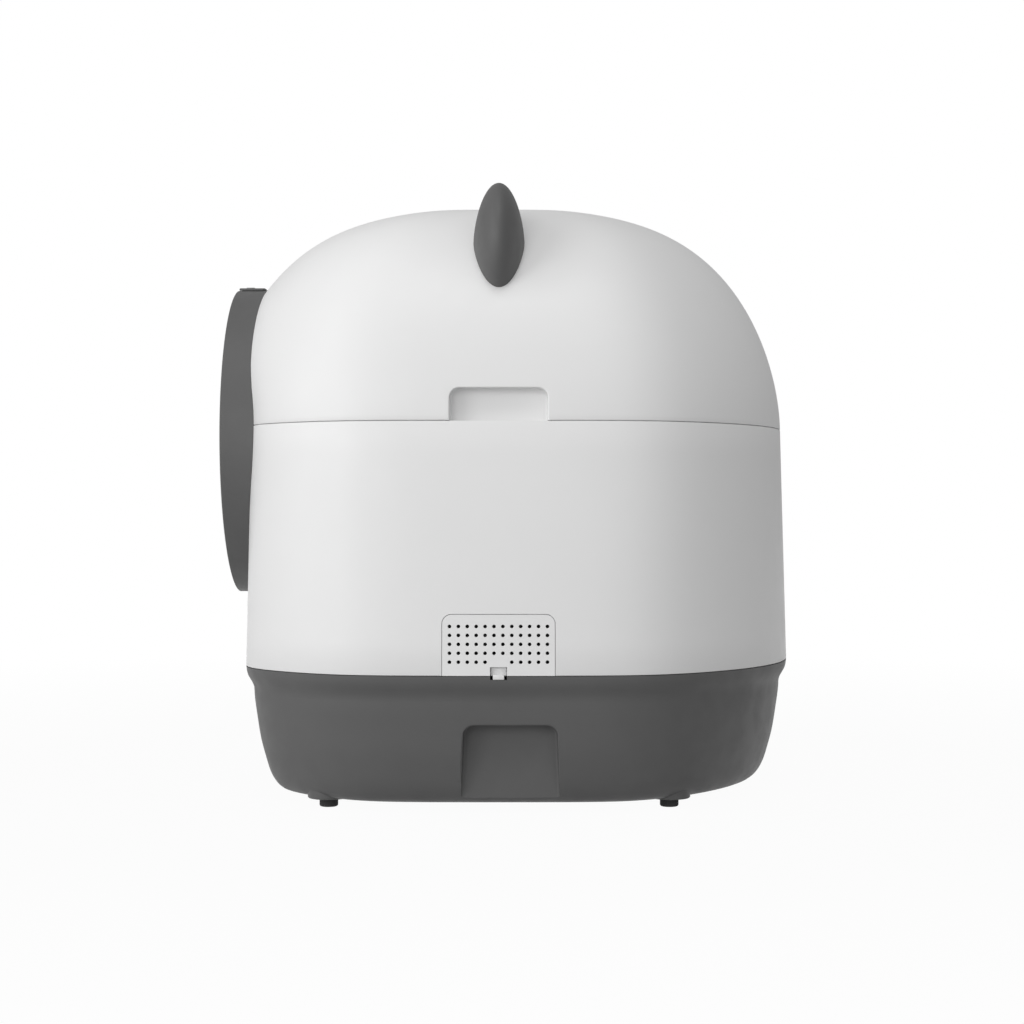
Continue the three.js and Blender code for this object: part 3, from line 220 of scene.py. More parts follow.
def quarter(steps):
    """Angles from nothing to a quarter turn."""
    return [math.pi / 2 * i / steps for i in range(steps + 1)]


def block(name, low, high):
    xs, ys, zs = zip(low, high)
    ring = [(0, 0), (1, 0), (1, 1), (0, 1)]
    return loft(name, [[(xs[i], ys[j], z) for i, j in ring] for z in zs])


def bake(made):
    """Gives an object the mesh that its modifiers make."""
    graph = bpy.context.evaluated_depsgraph_get()
    result = bpy.data.meshes.new_from_object(made.evaluated_get(graph))
    made.modifiers.clear()
    old = made.data
    made.data = result
    bpy.data.meshes.remove(old)
    return made


def boolean(made, other, operation="DIFFERENCE"):
    step = made.modifiers.new("step", "BOOLEAN")
    step.operation = operation
    step.solver = "MANIFOLD"
    step.object = other
    bake(made)
    bpy.data.objects.remove(other)
    return made


def cut(made, *others):
    for other in others:
        boolean(made, other)
    return made


def add(made, *others):
    for other in others:
        boolean(made, other, "UNION")
    return made


def common(made, other):
    return boolean(made, other, "INTERSECT")


def smooth(made, angle=32):
    for face in made.data.polygons:
        face.use_smooth = True
    made.data.set_sharp_from_angle(angle=math.radians(angle))
    return made


def chamfer(made, width, segments=2, angle=30):
    """Rounds the edges of a simple solid."""
    step = made.modifiers.new("edges", "BEVEL")
    step.width = width * MM
    step.segments = segments
    step.limit_method = "ANGLE"
    step.angle_limit = math.radians(angle)
    step.use_clamp_overlap = True
    return bake(made)


# The plan and the forms made from it
def inset(plan, by):
    return tuple(size - by for size in plan)


def between(a, b, share):
    return tuple(p + (q - p) * share for p, q in zip(a, b))


def plan_radius(plan, angle):
    side, round_, front = plan
    across = abs(math.cos(angle)) / side
    ahead = max(0.0, -math.sin(angle)) / front
    total = round_ ** -CORNER_POWER + across ** CORNER_POWER + ahead ** CORNER_POWER
    return total ** (-1 / CORNER_POWER)


def plan_ring(plan, z):
    ring = []
    for i in range(SIDES):
        angle = 2 * math.pi * i / SIDES
        radius = plan_radius(plan, angle)
        ring.append((radius * math.cos(angle), radius * math.sin(angle), z))
    return ring


def plan_solid(name, levels):
    return loft(name, [plan_ring(plan, z) for z, plan in levels])


def body_plan(z):
    return between(LOW_PLAN, HIGH_PLAN, (z - SEAM_LOW) / BODY_H)


def spline(points, at):
    """A monotone cubic through (place, value) points."""
    n = len(points)
    slopes = [(points[i + 1][1] - points[i][1]) / (points[i + 1][0] - points[i][0]) for i in range(n - 1)]
    tangents = [slopes[0]]
    for a, b in zip(slopes, slopes[1:]):
        tangents.append(0 if a * b <= 0 else 2 * a * b / (a + b))
    tangents.append(slopes[-1])
    i = max(k for k in range(n - 1) if k == 0 or points[k][0] <= at)
    (x0, y0), (x1, y1) = points[i], points[i + 1]
    h = x1 - x0
    t = (at - x0) / h
    return (
        y0 * (2 * t**3 - 3 * t**2 + 1) + h * tangents[i] * (t**3 - 2 * t**2 + t)
        + y1 * (3 * t**2 - 2 * t**3) + h * tangents[i + 1] * (t**3 - t**2)
    )


def base_plan(z):
    share = min(1, max(0, (z - FLOOR_GAP) / BASE_H))
    return inset(LOW_PLAN, BASE_TUCK * spline(BASE_SIDE_SHARES, share))


def dome_plan(z, by=0):
    share = min(1, max(0, (z - SEAM_HIGH) / (DOME_H - by)))
    wide = (1 - share**DOME_RISE_POWER) ** (1 / DOME_ROUND_POWER)
    side, round_, front = inset(HIGH_PLAN, by)
    return (side * wide, round_ * wide, front + FRONT_FADE * share**2)


def within(plan, x, y):
    side, round_, front = plan
    total = (math.hypot(x, y) / round_) ** CORNER_POWER + (abs(x) / side) ** CORNER_POWER
    return total + (max(0, -y) / front) ** CORNER_POWER < 1


def reach(limit, inside):
    """How far out a form goes, found by halving."""
    low, high = 0.0, limit
    for _ in range(HALVINGS):
        middle = (low + high) / 2
        low, high = (middle, high) if inside(middle) else (low, middle)
    return low


def plan_x(plan, y):
    """How far out the plan's side is at a place along Y."""
    return reach(plan[0], lambda x: within(plan, x, y))


def plan_front(plan, x):
    """How far out the plan's front is at a place along X."""
    return reach(plan[2], lambda y: within(plan, x, -y))


def rim_drop(edge, share):
    """How far a rounded rim has drawn in at a share of its radius past its start."""
    return edge * (1 - math.sqrt(1 - share**2))


def body_form(name, by, low, high, edge=0.0):
    """The body's form between two heights, with its two rims rounded."""
    rim_shares = (0, 0.3, 1) if edge else (0,)
    levels = []
    for share in rim_shares:
        z = low + edge * share
        levels.append((z, inset(body_plan(z), by + rim_drop(edge, 1 - share))))
    count = 8
    for i in range(1, count):
        z = low + edge + (high - low - 2 * edge) * i / count
        levels.append((z, inset(body_plan(z), by)))
    for share in reversed(rim_shares):
        z = high - edge * share
        levels.append((z, inset(body_plan(z), by + rim_drop(edge, 1 - share))))
    return plan_solid(name, levels)


def base_form(name, by, low=FLOOR_GAP, high=SEAM_LOW, edge=0.0):
    count = 44
    crowding = 1.5
    heights = [low + (high - edge - low) * (i / count) ** crowding for i in range(count + 1)]
    levels = [(z, inset(base_plan(z), by)) for z in heights]
    if edge:
        for share in (0.4, 0.8, 1):
            levels.append((high - edge + edge * share, inset(base_plan(high), by + rim_drop(edge, share))))
    return plan_solid(name, levels)


def dome_form(name, by, low, edge=0.0):
    levels = []
    for share in (0, 0.4, 1) if edge else (0,):
        levels.append((low + edge * share, inset(HIGH_PLAN, by + rim_drop(edge, 1 - share))))
    count = 64
    for i in range(1, count):
        z = SEAM_HIGH + math.sin(i / count * math.pi / 2) * (DOME_H - by)
        if z > low + edge + RUN:
            levels.append((z, dome_plan(z, by)))
    crown_share = 0.3
    side, round_, front = levels[-1][1]
    levels.append((TOP - by, (side * crown_share, round_ * crown_share, front)))
    return plan_solid(name, levels)


def lip_on(name, plan, seam):
    """The lip on a shell's upper rim: its root sits in the wall, and its upper part in the next shell."""
    root, upper = inset(plan, LIP["root_inset"]), inset(plan, WALL + SEAM_GAP)
    ledge = seam - LIP["ledge"]
    outer = plan_solid(name, [
        (seam - LIP["root"], root), (ledge, root), (ledge + LIP["step"], upper),
        (seam + LIP["height"], upper),
    ])
    inner = inset(plan, WALL + SEAM_GAP + LIP["thick"])
    return cut(outer, plan_solid("inner", [(seam - OVER, inner), (seam + OVER, inner)]))


def hand_grip(side, grip, low, high, plan_at):
    """The cutter for a hand grip: its mouth's edge is rounded where it meets the curved side, and so is
    the corner at its back. The outline is open below, and flares towards its bottom."""
    half, corner, back = grip["half"], grip["corner"], grip["back"]
    fillet, floor = grip["fillet"], grip["floor"]
    steps, across, turns = 10, 8, 6
    outline = [(-half - grip["flare"], low, -1, 0), (-half, high - corner, -1, 0)]
    for i in range(1, steps):
        a = math.pi - math.pi / 2 * i / steps
        outline.append((-half + corner + corner * math.cos(a), high - corner + corner * math.sin(a),
                        math.cos(a), math.sin(a)))
    outline += [((-half + corner) * (1 - 2 * k / across), high, 0, 1) for k in range(across + 1)]
    outline += [(-y, z, -ny, nz) for y, z, ny, nz in reversed(outline[:1 + steps])]

    def ring_at(grow, depth):
        ring = []
        for y, z, ny, nz in outline:
            py, pz = grip["offset"] + y + grow * ny, z + grow * nz
            ring.append((max(back, plan_x(plan_at(pz), py) - depth), py, pz))
        return ring

    rings = [[(side * FAR, y, z) for _, y, z in ring_at(fillet, 0)]]
    for a in quarter(turns):
        mouth = ring_at(fillet * (1 - math.sin(a)), fillet * (1 - math.cos(a)) - NICK)
        rings.append([(side * x, y, z) for x, y, z in mouth])
    for a in quarter(turns):
        x = back + floor * (1 - math.sin(a))
        corner_ring = ring_at(-floor * (1 - math.cos(a)), 0)
        rings.append([(side * min(x, edge), y, z) for (edge, _, _), (_, y, z) in zip(mouth, corner_ring)])
    return loft("grip", rings)


def prism_x(name, y0, y1, z0, z1, corner, x0, x1, steps=10):
    """A prism along X whose two upper corners are round."""
    outline = [(y0, z0), (y1, z0)]
    for middle, start in ((y1 - corner, 0), (y0 + corner, 90)):
        outline += [(middle + u, v) for u, v in arc(0, z1 - corner, corner, start, start + 90, steps)]
    return loft(name, [[(x, y, z) for y, z in outline] for x in sorted((x0, x1))])


def prism_z(name, x0, x1, y0, y1, corner, z0, z1, edge=0.0, steps=10):
    """A prism along Z with four round corners, and rounded edges at its lower end."""
    rings = []
    for a in quarter(4) if edge else [0]:
        by, z = edge * (1 - math.sin(a)), z0 + edge * (1 - math.cos(a))
        ring = []
        for cx, cy, start in ((x1, y1, 0), (x0, y1, 90), (x0, y0, 180), (x1, y0, 270)):
            mx = cx - math.copysign(corner, cx - (x0 + x1) / 2)
            my = cy - math.copysign(corner, cy - (y0 + y1) / 2)
            ring += [(mx + u, v, z) for u, v in arc(0, my, corner - by, start, start + 90, steps)]
        rings.append(ring)
    rings.append([(x, y, z1) for x, y, _ in rings[-1]])
    return loft(name, rings)


def round_cut(radius):
    return about_axis("round_cut", rod(radius, AHEAD, SHOULDER_Y), FINE_SIDES)


# Body shell with the doorway, the bay for the filter and the shelves under the dome's grips
EAR = {"rise": 164.05, "radius": 54.15, "half": 23.2, "swell_power": 1.6, "peg": 5, "peg_hole": 5.3,
       "low": -16, "high": 6}
EAR_Z = SEAM_HIGH + EAR["rise"]
EAR_X = plan_radius(HIGH_PLAN, 0) * dome_plan(EAR_Z)[0] / HIGH_PLAN[0]
NOTCH = {"half": 43.3, "height": 29.25, "back": 229, "corner": 8.8, "fillet": 1.1, "floor": 2.2, "flare": 0,
         "offset": 0, "room_corner": 7.6, "wall": 2.5, "shelf": 3.5}
DOOR = {"half": 49.3, "top": SEAM_LOW + 53.85, "gap": 0.5, "corner": 8.2, "thick": 2.6}
BAY = {"face": 230, "wall": 2, "half": 45.3, "low": 2, "high": 8}
WINDOW = {"half": 38, "low": 14, "high": 41}
SLOT = {"face": 247.6, "half": 7.35, "high": 16, "drop": 3.2}
RING_SCREW_R = RING_R - 12.1
RING_SCREW_ANGLES = (-110, -90, -70)
RING_SCREWS = [(RING_SCREW_R * math.cos(math.radians(a)), AXIS_Z + RING_SCREW_R * math.sin(math.radians(a)))
               for a in RING_SCREW_ANGLES]


def notch_room(side, grow):
    half = NOTCH["half"] + grow
    return prism_x("room", -half, half, SEAM_HIGH - OVER, SEAM_HIGH + NOTCH["height"] + grow,
                   NOTCH["room_corner"] + grow, side * (NOTCH["back"] - grow), side * FAR)


def side_block(name, face, half, low, high):
    """A block that runs out through the side."""
    return block(name, (face, -half, low), (FAR, half, high))


def make_body():
    low = SEAM_LOW + SEAM_GAP
    half, top = DOOR["half"], DOOR["top"]
    body = body_form("body_skin", 0, low, SEAM_HIGH, edge=RIM)
    cut(body, body_form("inside", WALL, SEAM_LOW - OVER, SEAM_HIGH + OVER))
    lip = lip_on("lip", HIGH_PLAN, SEAM_HIGH)
    lip_room = NOTCH["wall"] + RUN
    cut(lip, notch_room(-1, lip_room), notch_room(1, lip_room), round_cut(RING_R + SEAM_GAP))
    extras = [lip]
    for side in (-1, 1):
        ends = sorted((side * (NOTCH["back"] - NOTCH["wall"]), side * FAR))
        shelf = block("shelf", (ends[0], -NOTCH["half"], SEAM_HIGH - NOTCH["shelf"]),
                      (ends[1], NOTCH["half"], SEAM_HIGH))
        extras.append(common(shelf, body_form("outside", DEEP_SKIN, low, SEAM_HIGH + LIP["height"])))
    bay = side_block("bay", BAY["face"] - BAY["wall"], half + BAY["wall"], low,
                     top + BAY["wall"] + BAY["high"])
    extras.append(common(bay, body_form("outside", DEEP_SKIN, low, SEAM_HIGH)))
    add(body, *extras)
    room = side_block("room", BAY["face"], BAY["half"], low + BAY["low"], top + BAY["high"])
    common(room, body_form("within", WALL, SEAM_LOW, SEAM_HIGH))
    doorway = prism_x("doorway", -half - DOOR["gap"], half + DOOR["gap"], SEAM_LOW, top + DOOR["gap"],
                      DOOR["corner"] + DOOR["gap"], BAY["face"], FAR)
    cut(doorway, body_form("behind", DOOR["thick"] + DOOR["gap"], SEAM_LOW - OVER, SEAM_HIGH))
    window = block("window", (BAY["face"] - WALL, -WINDOW["half"], SEAM_LOW + WINDOW["low"]),
                   (BAY["face"] + RUN, WINDOW["half"], SEAM_LOW + WINDOW["high"]))
    slot = side_block("slot", SLOT["face"], SLOT["half"], SEAM_LOW, SEAM_LOW + SLOT["high"])
    holes = [along_y("hole", x, z, rod(SCREW_HOLE, AHEAD, SHOULDER_Y)) for x, z in RING_SCREWS]
    return cut(body, room, doorway, round_cut(OPENING_R), window, slot, *holes)


# Dome with a hand grip in each lower edge
def make_dome():
    low = SEAM_HIGH + SEAM_GAP
    dome = dome_form("dome_skin", 0, low, edge=RIM)
    outside = [dome_form("outside", SKIN, low) for _ in range(2)]
    cut(dome, dome_form("inside", WALL, SEAM_HIGH - OVER))
    for side in (-1, 1):
        add(dome, common(notch_room(side, NOTCH["wall"]), outside.pop()))
    for side in (-1, 1):
        cut(dome, hand_grip(side, NOTCH, SEAM_HIGH - OVER, SEAM_HIGH + NOTCH["height"], dome_plan))
        cut(dome, leaning("hole", side, rod(EAR["peg_hole"], EAR["low"], EAR["high"])))
    return cut(dome, round_cut(RING_R + SEAM_GAP))


# Ear: a lens about a line along Y, cut to the dome, on its peg
def make_ear(name, side):
    levels = 26
    profile = []
    for i in range(-levels, levels + 1):
        share = math.cos(i / levels * math.pi / 2)
        radius = 0 if abs(i) == levels else EAR["radius"] * share
        swell = math.sqrt(max(0, 1 - share ** EAR["swell_power"]))
        profile.append((radius, math.copysign(EAR["half"] * swell, i)))
    ear = along_y(name, side * EAR_X, EAR_Z, profile, SIDES // 2)
    cut(ear, dome_form("dome", -GAP, SEAM_HIGH))
    return add(ear, leaning("peg", side, rod(EAR["peg"], EAR["low"], EAR["high"])))


# Base with its hand grips, bosses, runners and posts
GRIP = {"half": 41.6, "offset": 10.4, "high": FLOOR_GAP + 72.4, "back": 226, "corner": 9.6, "fillet": 1.4,
        "floor": 3, "flare": 3.2, "room_half": 45, "room_corner": 12.5}
FOOT = {"x": 178, "y": 155, "boss": 19.1, "edge": 1.5, "rise": 18, "pad": 8.5, "pad_edge": 1.9, "stem": 3.5,
        "stem_length": 12, "chamfer": 0.5}
POST = {"x": 190, "y": 100, "radius": 7, "top": SEAM_LOW - 8.8, "screw": 12.7}
RUNNER = {"x": 60, "half": 6, "front": -188, "back": 150, "rise": 1.5}
GUIDE = {"low": 147, "high": 150, "rise": 15}
STANDOFF = {"x": 39, "places": (176, 224), "radius": 3, "rise": 4.7, "sides": 16}
DRAWER_OPENING = {"half": 151.3, "low": 12.4, "high": 109.4}
DOOR_BAY = {"face": 227, "half": 52.3}
INLET = {"x": -60, "z": FLOOR_GAP + 50, "radius": 9, "barrel": 6, "hole": 6.3, "bore": 2.8, "proud": 3,
         "seat": 6, "deep": 20, "bore_deep": 12}
INLET_Y = math.sqrt(base_plan(INLET["z"])[1] ** 2 - INLET["x"] ** 2)


def corners_of(size):
    return [(sx * size["x"], sy * size["y"]) for sx in (-1, 1) for sy in (-1, 1)]


def add_bosses(base, root):
    """The bosses for the feet and the posts for the deck."""
    radius, edge, top = FOOT["boss"], FOOT["edge"], FLOOR_GAP + FOOT["rise"]
    rounding = arc(radius - edge, FLOOR_GAP + edge, edge, -90, 0, 5)
    boss = [(0, FLOOR_GAP), (radius - edge, FLOOR_GAP), *rounding, (radius, top), (0, top)]
    for x, y in corners_of(FOOT):
        add(base, upright("boss", x, y, boss, MEDIUM_SIDES))
    for x, y in corners_of(POST):
        add(base, upright("post", x, y, rod(POST["radius"], root, POST["top"])))


def make_base():
    base = base_form("base_skin", 0, edge=BASE_RIM)
    outside = [base_form("outside", SKIN) for _ in range(2)]
    cut(base, base_form("inside", WALL, BASE_FLOOR, SEAM_LOW + OVER))
    add(base, lip_on("lip", LOW_PLAN, SEAM_LOW))
    for side in (-1, 1):
        room = prism_x("room", GRIP["offset"] - GRIP["room_half"], GRIP["offset"] + GRIP["room_half"],
                       FLOOR_GAP - OVER, GRIP["high"] + WALL, GRIP["room_corner"],
                       side * (GRIP["back"] - WALL), side * FAR)
        add(base, common(room, outside.pop()))
    root = BASE_FLOOR - WALL / 2
    add_bosses(base, root)
    for side in (-1, 1):
        middle, front, back = side * RUNNER["x"], RUNNER["front"], RUNNER["back"]
        add(base, block("runner", (middle - RUNNER["half"], front, root),
                        (middle + RUNNER["half"], back, BASE_FLOOR + RUNNER["rise"])))
        ends = sorted((side * GUIDE["low"], side * GUIDE["high"]))
        add(base, block("guide", (ends[0], front, root), (ends[1], back, BASE_FLOOR + GUIDE["rise"])))
        for y in STANDOFF["places"]:
            profile = rod(STANDOFF["radius"], root, BASE_FLOOR + STANDOFF["rise"])
            add(base, upright("standoff", side * STANDOFF["x"], y, profile, STANDOFF["sides"]))
        cut(base, hand_grip(side, GRIP, FLOOR_GAP - OVER, GRIP["high"], base_plan))
    stem_hole = rod(FOOT["stem"] + GAP, -RUN, FLOOR_GAP + FOOT["stem_length"] + RUN)
    for x, y in corners_of(FOOT):
        cut(base, upright("hole", x, y, stem_hole))
    for x, y in corners_of(POST):
        cut(base, upright("hole", x, y, rod(SCREW_HOLE, POST["top"] - POST["screw"], TOP)))
    cut(base, block("opening", (-DRAWER_OPENING["half"], AHEAD, DRAWER_OPENING["low"]),
                    (DRAWER_OPENING["half"], RUNNER["front"], DRAWER_OPENING["high"])))
    cut(base, along_y("bore", INLET["x"], INLET["z"], rod(INLET["hole"], INLET_Y - INLET["deep"], -AHEAD)))
    cut(base, side_block("bay", DOOR_BAY["face"], DOOR_BAY["half"], SEAM_LOW, SEAM_HIGH))
    return cut(base, side_block("slot", SLOT["face"], SLOT["half"], SEAM_LOW - SLOT["drop"], SEAM_HIGH))


# Filter door with its vents, and its latch
HOOK = {"y": 32, "half": 6, "thick": 2.4, "gap": 0.35, "low": 7, "high": 4, "root": 1}
RIB = {"thick": 2, "low": 9, "high": 16, "deep": 5}
DOOR_NOTCH = 8.1
VENTS = {"columns": 12, "rows": 5, "pitch": 7.78, "first": 12.35, "radius": 1.6, "mouth": 1.9, "flare": 0.3,
         "deep": 8, "sides": 20}
LATCH = {"back": 248.6, "low": 2.9, "half": 4.9, "face": 255.1, "top": 1.4, "edge": 0.35,
         "stem_half": 7.05, "stem_face": 251, "stem_top": 14}


def make_vent(y, z):
    face = plan_x(body_plan(z), y)
    deep, past, narrow, wide = face - VENTS["deep"], face + 2 * RUN, VENTS["radius"], VENTS["mouth"]
    profile = [(0, deep), (narrow, deep), (narrow, face - VENTS["flare"]), (wide, face + NICK), (wide, past),
               (0, past)]
    return along_x("vent", y, z, profile, VENTS["sides"])


def make_door():
    half, top, thick = DOOR["half"], DOOR["top"], DOOR["thick"]
    door = body_form("filter_door_skin", 0, SEAM_LOW + SEAM_GAP, SEAM_HIGH)
    cut(door, body_form("inside", thick, SEAM_LOW - OVER, SEAM_HIGH + OVER))
    common(door, prism_x("outline", -half, half, SEAM_LOW, top, DOOR["corner"], BAY["face"], FAR))
    hook_face = plan_x(inset(body_plan(top + HOOK["high"]), WALL), 0) - HOOK["gap"]
    hook_back = hook_face - HOOK["thick"]
    skin = plan_x(inset(body_plan(top), thick / 2), 0)
    inner = plan_x(inset(body_plan(SEAM_LOW + RIB["high"]), thick), 0)
    for side in (-1, 1):
        low, high = side * HOOK["y"] - HOOK["half"], side * HOOK["y"] + HOOK["half"]
        add(door, block("hook", (hook_back, low, top - HOOK["low"]), (hook_face, high, top + HOOK["high"])))
        add(door, block("root", (hook_back, low, top - HOOK["low"]), (skin, high, top - HOOK["root"])))
        ends = sorted((side * SLOT["half"], side * (SLOT["half"] + RIB["thick"])))
        add(door, block("rib", (inner - RIB["deep"], ends[0], SEAM_LOW + RIB["low"]),
                        (inner + thick / 2, ends[1], SEAM_LOW + RIB["high"])))
    cut(door, side_block("notch", BAY["face"], SLOT["half"], SEAM_LOW - OVER, SEAM_LOW + DOOR_NOTCH))
    for column in range(VENTS["columns"]):
        y = (column - (VENTS["columns"] - 1) / 2) * VENTS["pitch"]
        for row in range(VENTS["rows"]):
            over_latch = row == 0 and abs(y) < VENTS["pitch"]
            if not over_latch:
                cut(door, make_vent(y, SEAM_LOW + VENTS["first"] + row * VENTS["pitch"]))
    return door


def make_latch():
    back, half, stem = LATCH["back"], LATCH["half"], LATCH["stem_half"]
    tongue = block("filter_latch_skin", (back, -half, SEAM_LOW - LATCH["low"]),
                   (LATCH["face"], half, SEAM_LOW + LATCH["top"]))
    add(tongue, block("stem", (back, -stem, SEAM_LOW),
                      (LATCH["stem_face"], stem, SEAM_LOW + LATCH["stem_top"])))
    return chamfer(tongue, LATCH["edge"], 3)


# Entry ring, liner, seal, control cap, buttons and lens
LINER_FRONT = RING_FRONT + RING_ROLL + RUN + GAP
LINER_REACH = 52
LINER_BACK = RING_FRONT + LINER_REACH
SEAL = {"radius": 139, "thick": 6}
RING_BACK = -HIGH_PLAN[2] + OVER
COLLAR = 8
RING_BOSS = {"radius": 5.5, "hole_end": -248}
PANEL_IN = RING_R + GAP
PANEL = {"thick": 2.3, "half": 24, "front": 3.7, "depth": 24, "edge": 0.7, "well": 4.5}
PANEL_POST = {"x": 14, "half": 2, "front": 9, "back": 17, "top": 142.1}
BUTTON_SIZE = {"y": RING_FRONT + 13.7, "pitch": 14, "radius": 4.2, "edge": 0.5, "stem": 1.8, "proud": 0.6,
               "board": 144.3, "dish": [(2.4, 0.1), (1.2, 0.22), (0, 0.25)]}
BUTTON_STEP = BUTTON_SIZE["pitch"] / RING_R
BUTTON_ANGLES = {"button_power": -BUTTON_STEP, "button_clean": 0, "button_level": BUTTON_STEP}
LENS = {"z": AXIS_Z + 136, "radius": 5, "hole": 5.3, "front": 0.8, "back": 4.8, "edge": 0.6}


def ring_face(steps=20):
    """The face from its rim to its rolled edge: its rim lies behind its front."""
    inner, power = RING_BORE + RING_ROLL, 4 / 3
    return [(inner + (RING_R - inner) * math.cos(a) ** power,
             RING_FRONT + RING_FACE * (1 - math.sin(a) ** power)) for a in quarter(steps)[:-1]]


def make_ring():
    inner = LINER_R + GAP
    ring = about_axis("entry_ring_skin", [
        (inner, RING_BACK), (RING_R, RING_BACK), *ring_face(),
        *arc(RING_BORE + RING_ROLL, RING_FRONT + RING_ROLL, RING_ROLL, -90, -180, 14),
        (RING_BORE, LINER_FRONT - GAP), (inner, LINER_FRONT - GAP),
    ], FINE_SIDES)
    cut(ring, about_axis("hollow", [
        (inner - RUN, RING_BACK + RUN), (RING_R - WALL, RING_BACK + RUN),
        (RING_R - WALL, RING_FRONT + RING_FACE + WALL), (RING_BORE + RING_ROLL, RING_FRONT + WALL),
        (inner + WALL, LINER_FRONT), (inner + WALL, LINER_FRONT + COLLAR),
        (inner - RUN, LINER_FRONT + COLLAR),
    ]))
    for x, z in RING_SCREWS:
        add(ring, along_y("boss", x, z, rod(RING_BOSS["radius"], RING_FRONT + WALL / 2, RING_BACK)))
    for side in (-1, 1):
        x, half = side * PANEL_POST["x"], PANEL_POST["half"]
        add(ring, block("post", (x - half, RING_FRONT + PANEL_POST["front"], AXIS_Z + inner + WALL / 2),
                        (x + half, RING_FRONT + PANEL_POST["back"], AXIS_Z + PANEL_POST["top"])))
    cut(ring, body_form("wall", -GAP, SEAM_LOW, SEAM_HIGH + GAP))
    for x, z in RING_SCREWS:
        cut(ring, along_y("hole", x, z, rod(SCREW_HOLE, RING_BOSS["hole_end"], RING_BACK)))
    button_hole = rod(BUTTON_SIZE["stem"] + GAP, BUTTON_SIZE["board"] - GAP, PANEL_IN + OVER)
    for angle in BUTTON_ANGLES.values():
        cut(ring, spoke("hole", angle, BUTTON_SIZE["y"], button_hole))
    return cut(ring, along_y("lens_hole", 0, LENS["z"], rod(LENS["hole"], RING_FRONT - RUN, LINER_FRONT)))


def make_panel():
    front, outer = RING_FRONT + PANEL["front"], PANEL_IN + PANEL["thick"]
    panel = about_axis("control_panel_skin", tube(PANEL_IN, outer, front, front + PANEL["depth"]), FINE_SIDES)
    common(panel, block("cap", (-PANEL["half"], RING_FRONT, AXIS_Z), (PANEL["half"], 0, TOP)))
    chamfer(panel, PANEL["edge"], 3, 50)
    well = rod(PANEL["well"], PANEL_IN - 2 * RUN, outer + 2 * RUN)
    for angle in BUTTON_ANGLES.values():
        cut(panel, spoke("well", angle, BUTTON_SIZE["y"], well, SMALL_SIDES))
    return panel


def make_button(name, angle):
    """A cap with a rounded edge and a dished top, on a stem that reaches down to the board."""
    top, under = PANEL_IN + PANEL["thick"] + BUTTON_SIZE["proud"], PANEL_IN + RUN
    radius, edge, stem = BUTTON_SIZE["radius"], BUTTON_SIZE["edge"], BUTTON_SIZE["stem"]
    rim = [(radius - edge + edge * math.sin(a), top - edge + edge * math.cos(a))
           for a in reversed(quarter(4))]
    dish = [(r, top - drop) for r, drop in BUTTON_SIZE["dish"]]
    foot = (BUTTON_SIZE["board"] + stem * math.sin(abs(angle))) / math.cos(angle) + RUN
    profile = [(0, foot), (stem, foot), (stem, under), (radius, under), *rim, *dish]
    return spoke(f"{name}_skin", angle, BUTTON_SIZE["y"], profile, SMALL_SIDES)


# Drum
DRUM = {"mouth": 143, "front": -216, "shoulder": 111, "flat": 120, "round_start": 118, "round_depth": 82,
        "seam": -60, "rim": 4, "rim_thick": 3}
DRUM_BACK = DRUM["round_start"] + DRUM["round_depth"]
PORT = {"y": 8, "half": 56, "low": 120, "wall": 5, "room": 5.3, "flange": 8.2, "deep": 11, "proud": 3.2}


def front_curve(by, steps=16):
    low, high = DRUM["mouth"] - by, DRUM_R - by
    shoulder = [(low + (high - low) * math.sin(a), SHOULDER_Y - DRUM["shoulder"] * math.cos(a))
                for a in quarter(steps)]
    return [(low, DRUM["front"]), *shoulder]


def back_curve(by, steps=16):
    flat, start, depth = DRUM["flat"], DRUM["round_start"], DRUM["round_depth"] - by
    return [(flat - by + (DRUM_R - flat) * math.cos(a), start + depth * math.sin(a)) for a in quarter(steps)]


def make_drum_front():
    seam, rim = DRUM["seam"], DRUM_R + DRUM["rim"]
    return about_axis("drum_front_skin", [
        *front_curve(0), (DRUM_R, seam - DRUM["rim_thick"]), (rim, seam - DRUM["rim_thick"]), (rim, seam),
        (DRUM_R - WALL, seam), *reversed(front_curve(WALL)),
    ])


def port_box(name, grow):
    half = PORT["half"] + grow
    return block(name, (-half, PORT["y"] - half, AXIS_Z + PORT["low"]), (half, PORT["y"] + half, TOP))


def make_drum_rear():
    start, rim = DRUM["seam"] + GAP, DRUM_R + DRUM["rim"]
    rear = about_axis("drum_rear_skin", [
        (0, DRUM_BACK - WALL), *reversed(back_curve(WALL)), (DRUM_R - WALL, start), (rim, start),
        (rim, start + DRUM["rim_thick"]), (DRUM_R, start + DRUM["rim_thick"]), *back_curve(0), (0, DRUM_BACK),
    ])
    return cut(rear, port_box("port", PORT["room"]))


def drum_band(inner):
    return about_axis("band", tube(inner, DRUM_R + PORT["proud"], DRUM["seam"], DRUM["round_start"]))


def make_port_frame():
    frame_piece = common(port_box("waste_port_frame_skin", PORT["wall"]), drum_band(DRUM_R - PORT["deep"]))
    flange = common(port_box("flange", PORT["flange"]), drum_band(DRUM_R + GAP))
    return cut(add(frame_piece, flange), port_box("port", 0))


# Waste drawer
PULL = {"half": 42, "low": 69.7, "high": 87.7, "corner": 8, "back": -213.7, "mouth": 1.2, "floor": 2,
        "wall": 2.5}
DRAWER = {"half": 151, "back": -196.3, "low": 12.7, "high": 109.1, "wall": 3.5}
TRAY = {"half": 146, "front": -196, "back": 150, "corner": 12, "top": 103.2, "edge": 4}
BAG = {"low": 103.5, "high": 106.7, "half": 125, "front": -176, "back": 130, "corner": 15, "edge": 0.6}


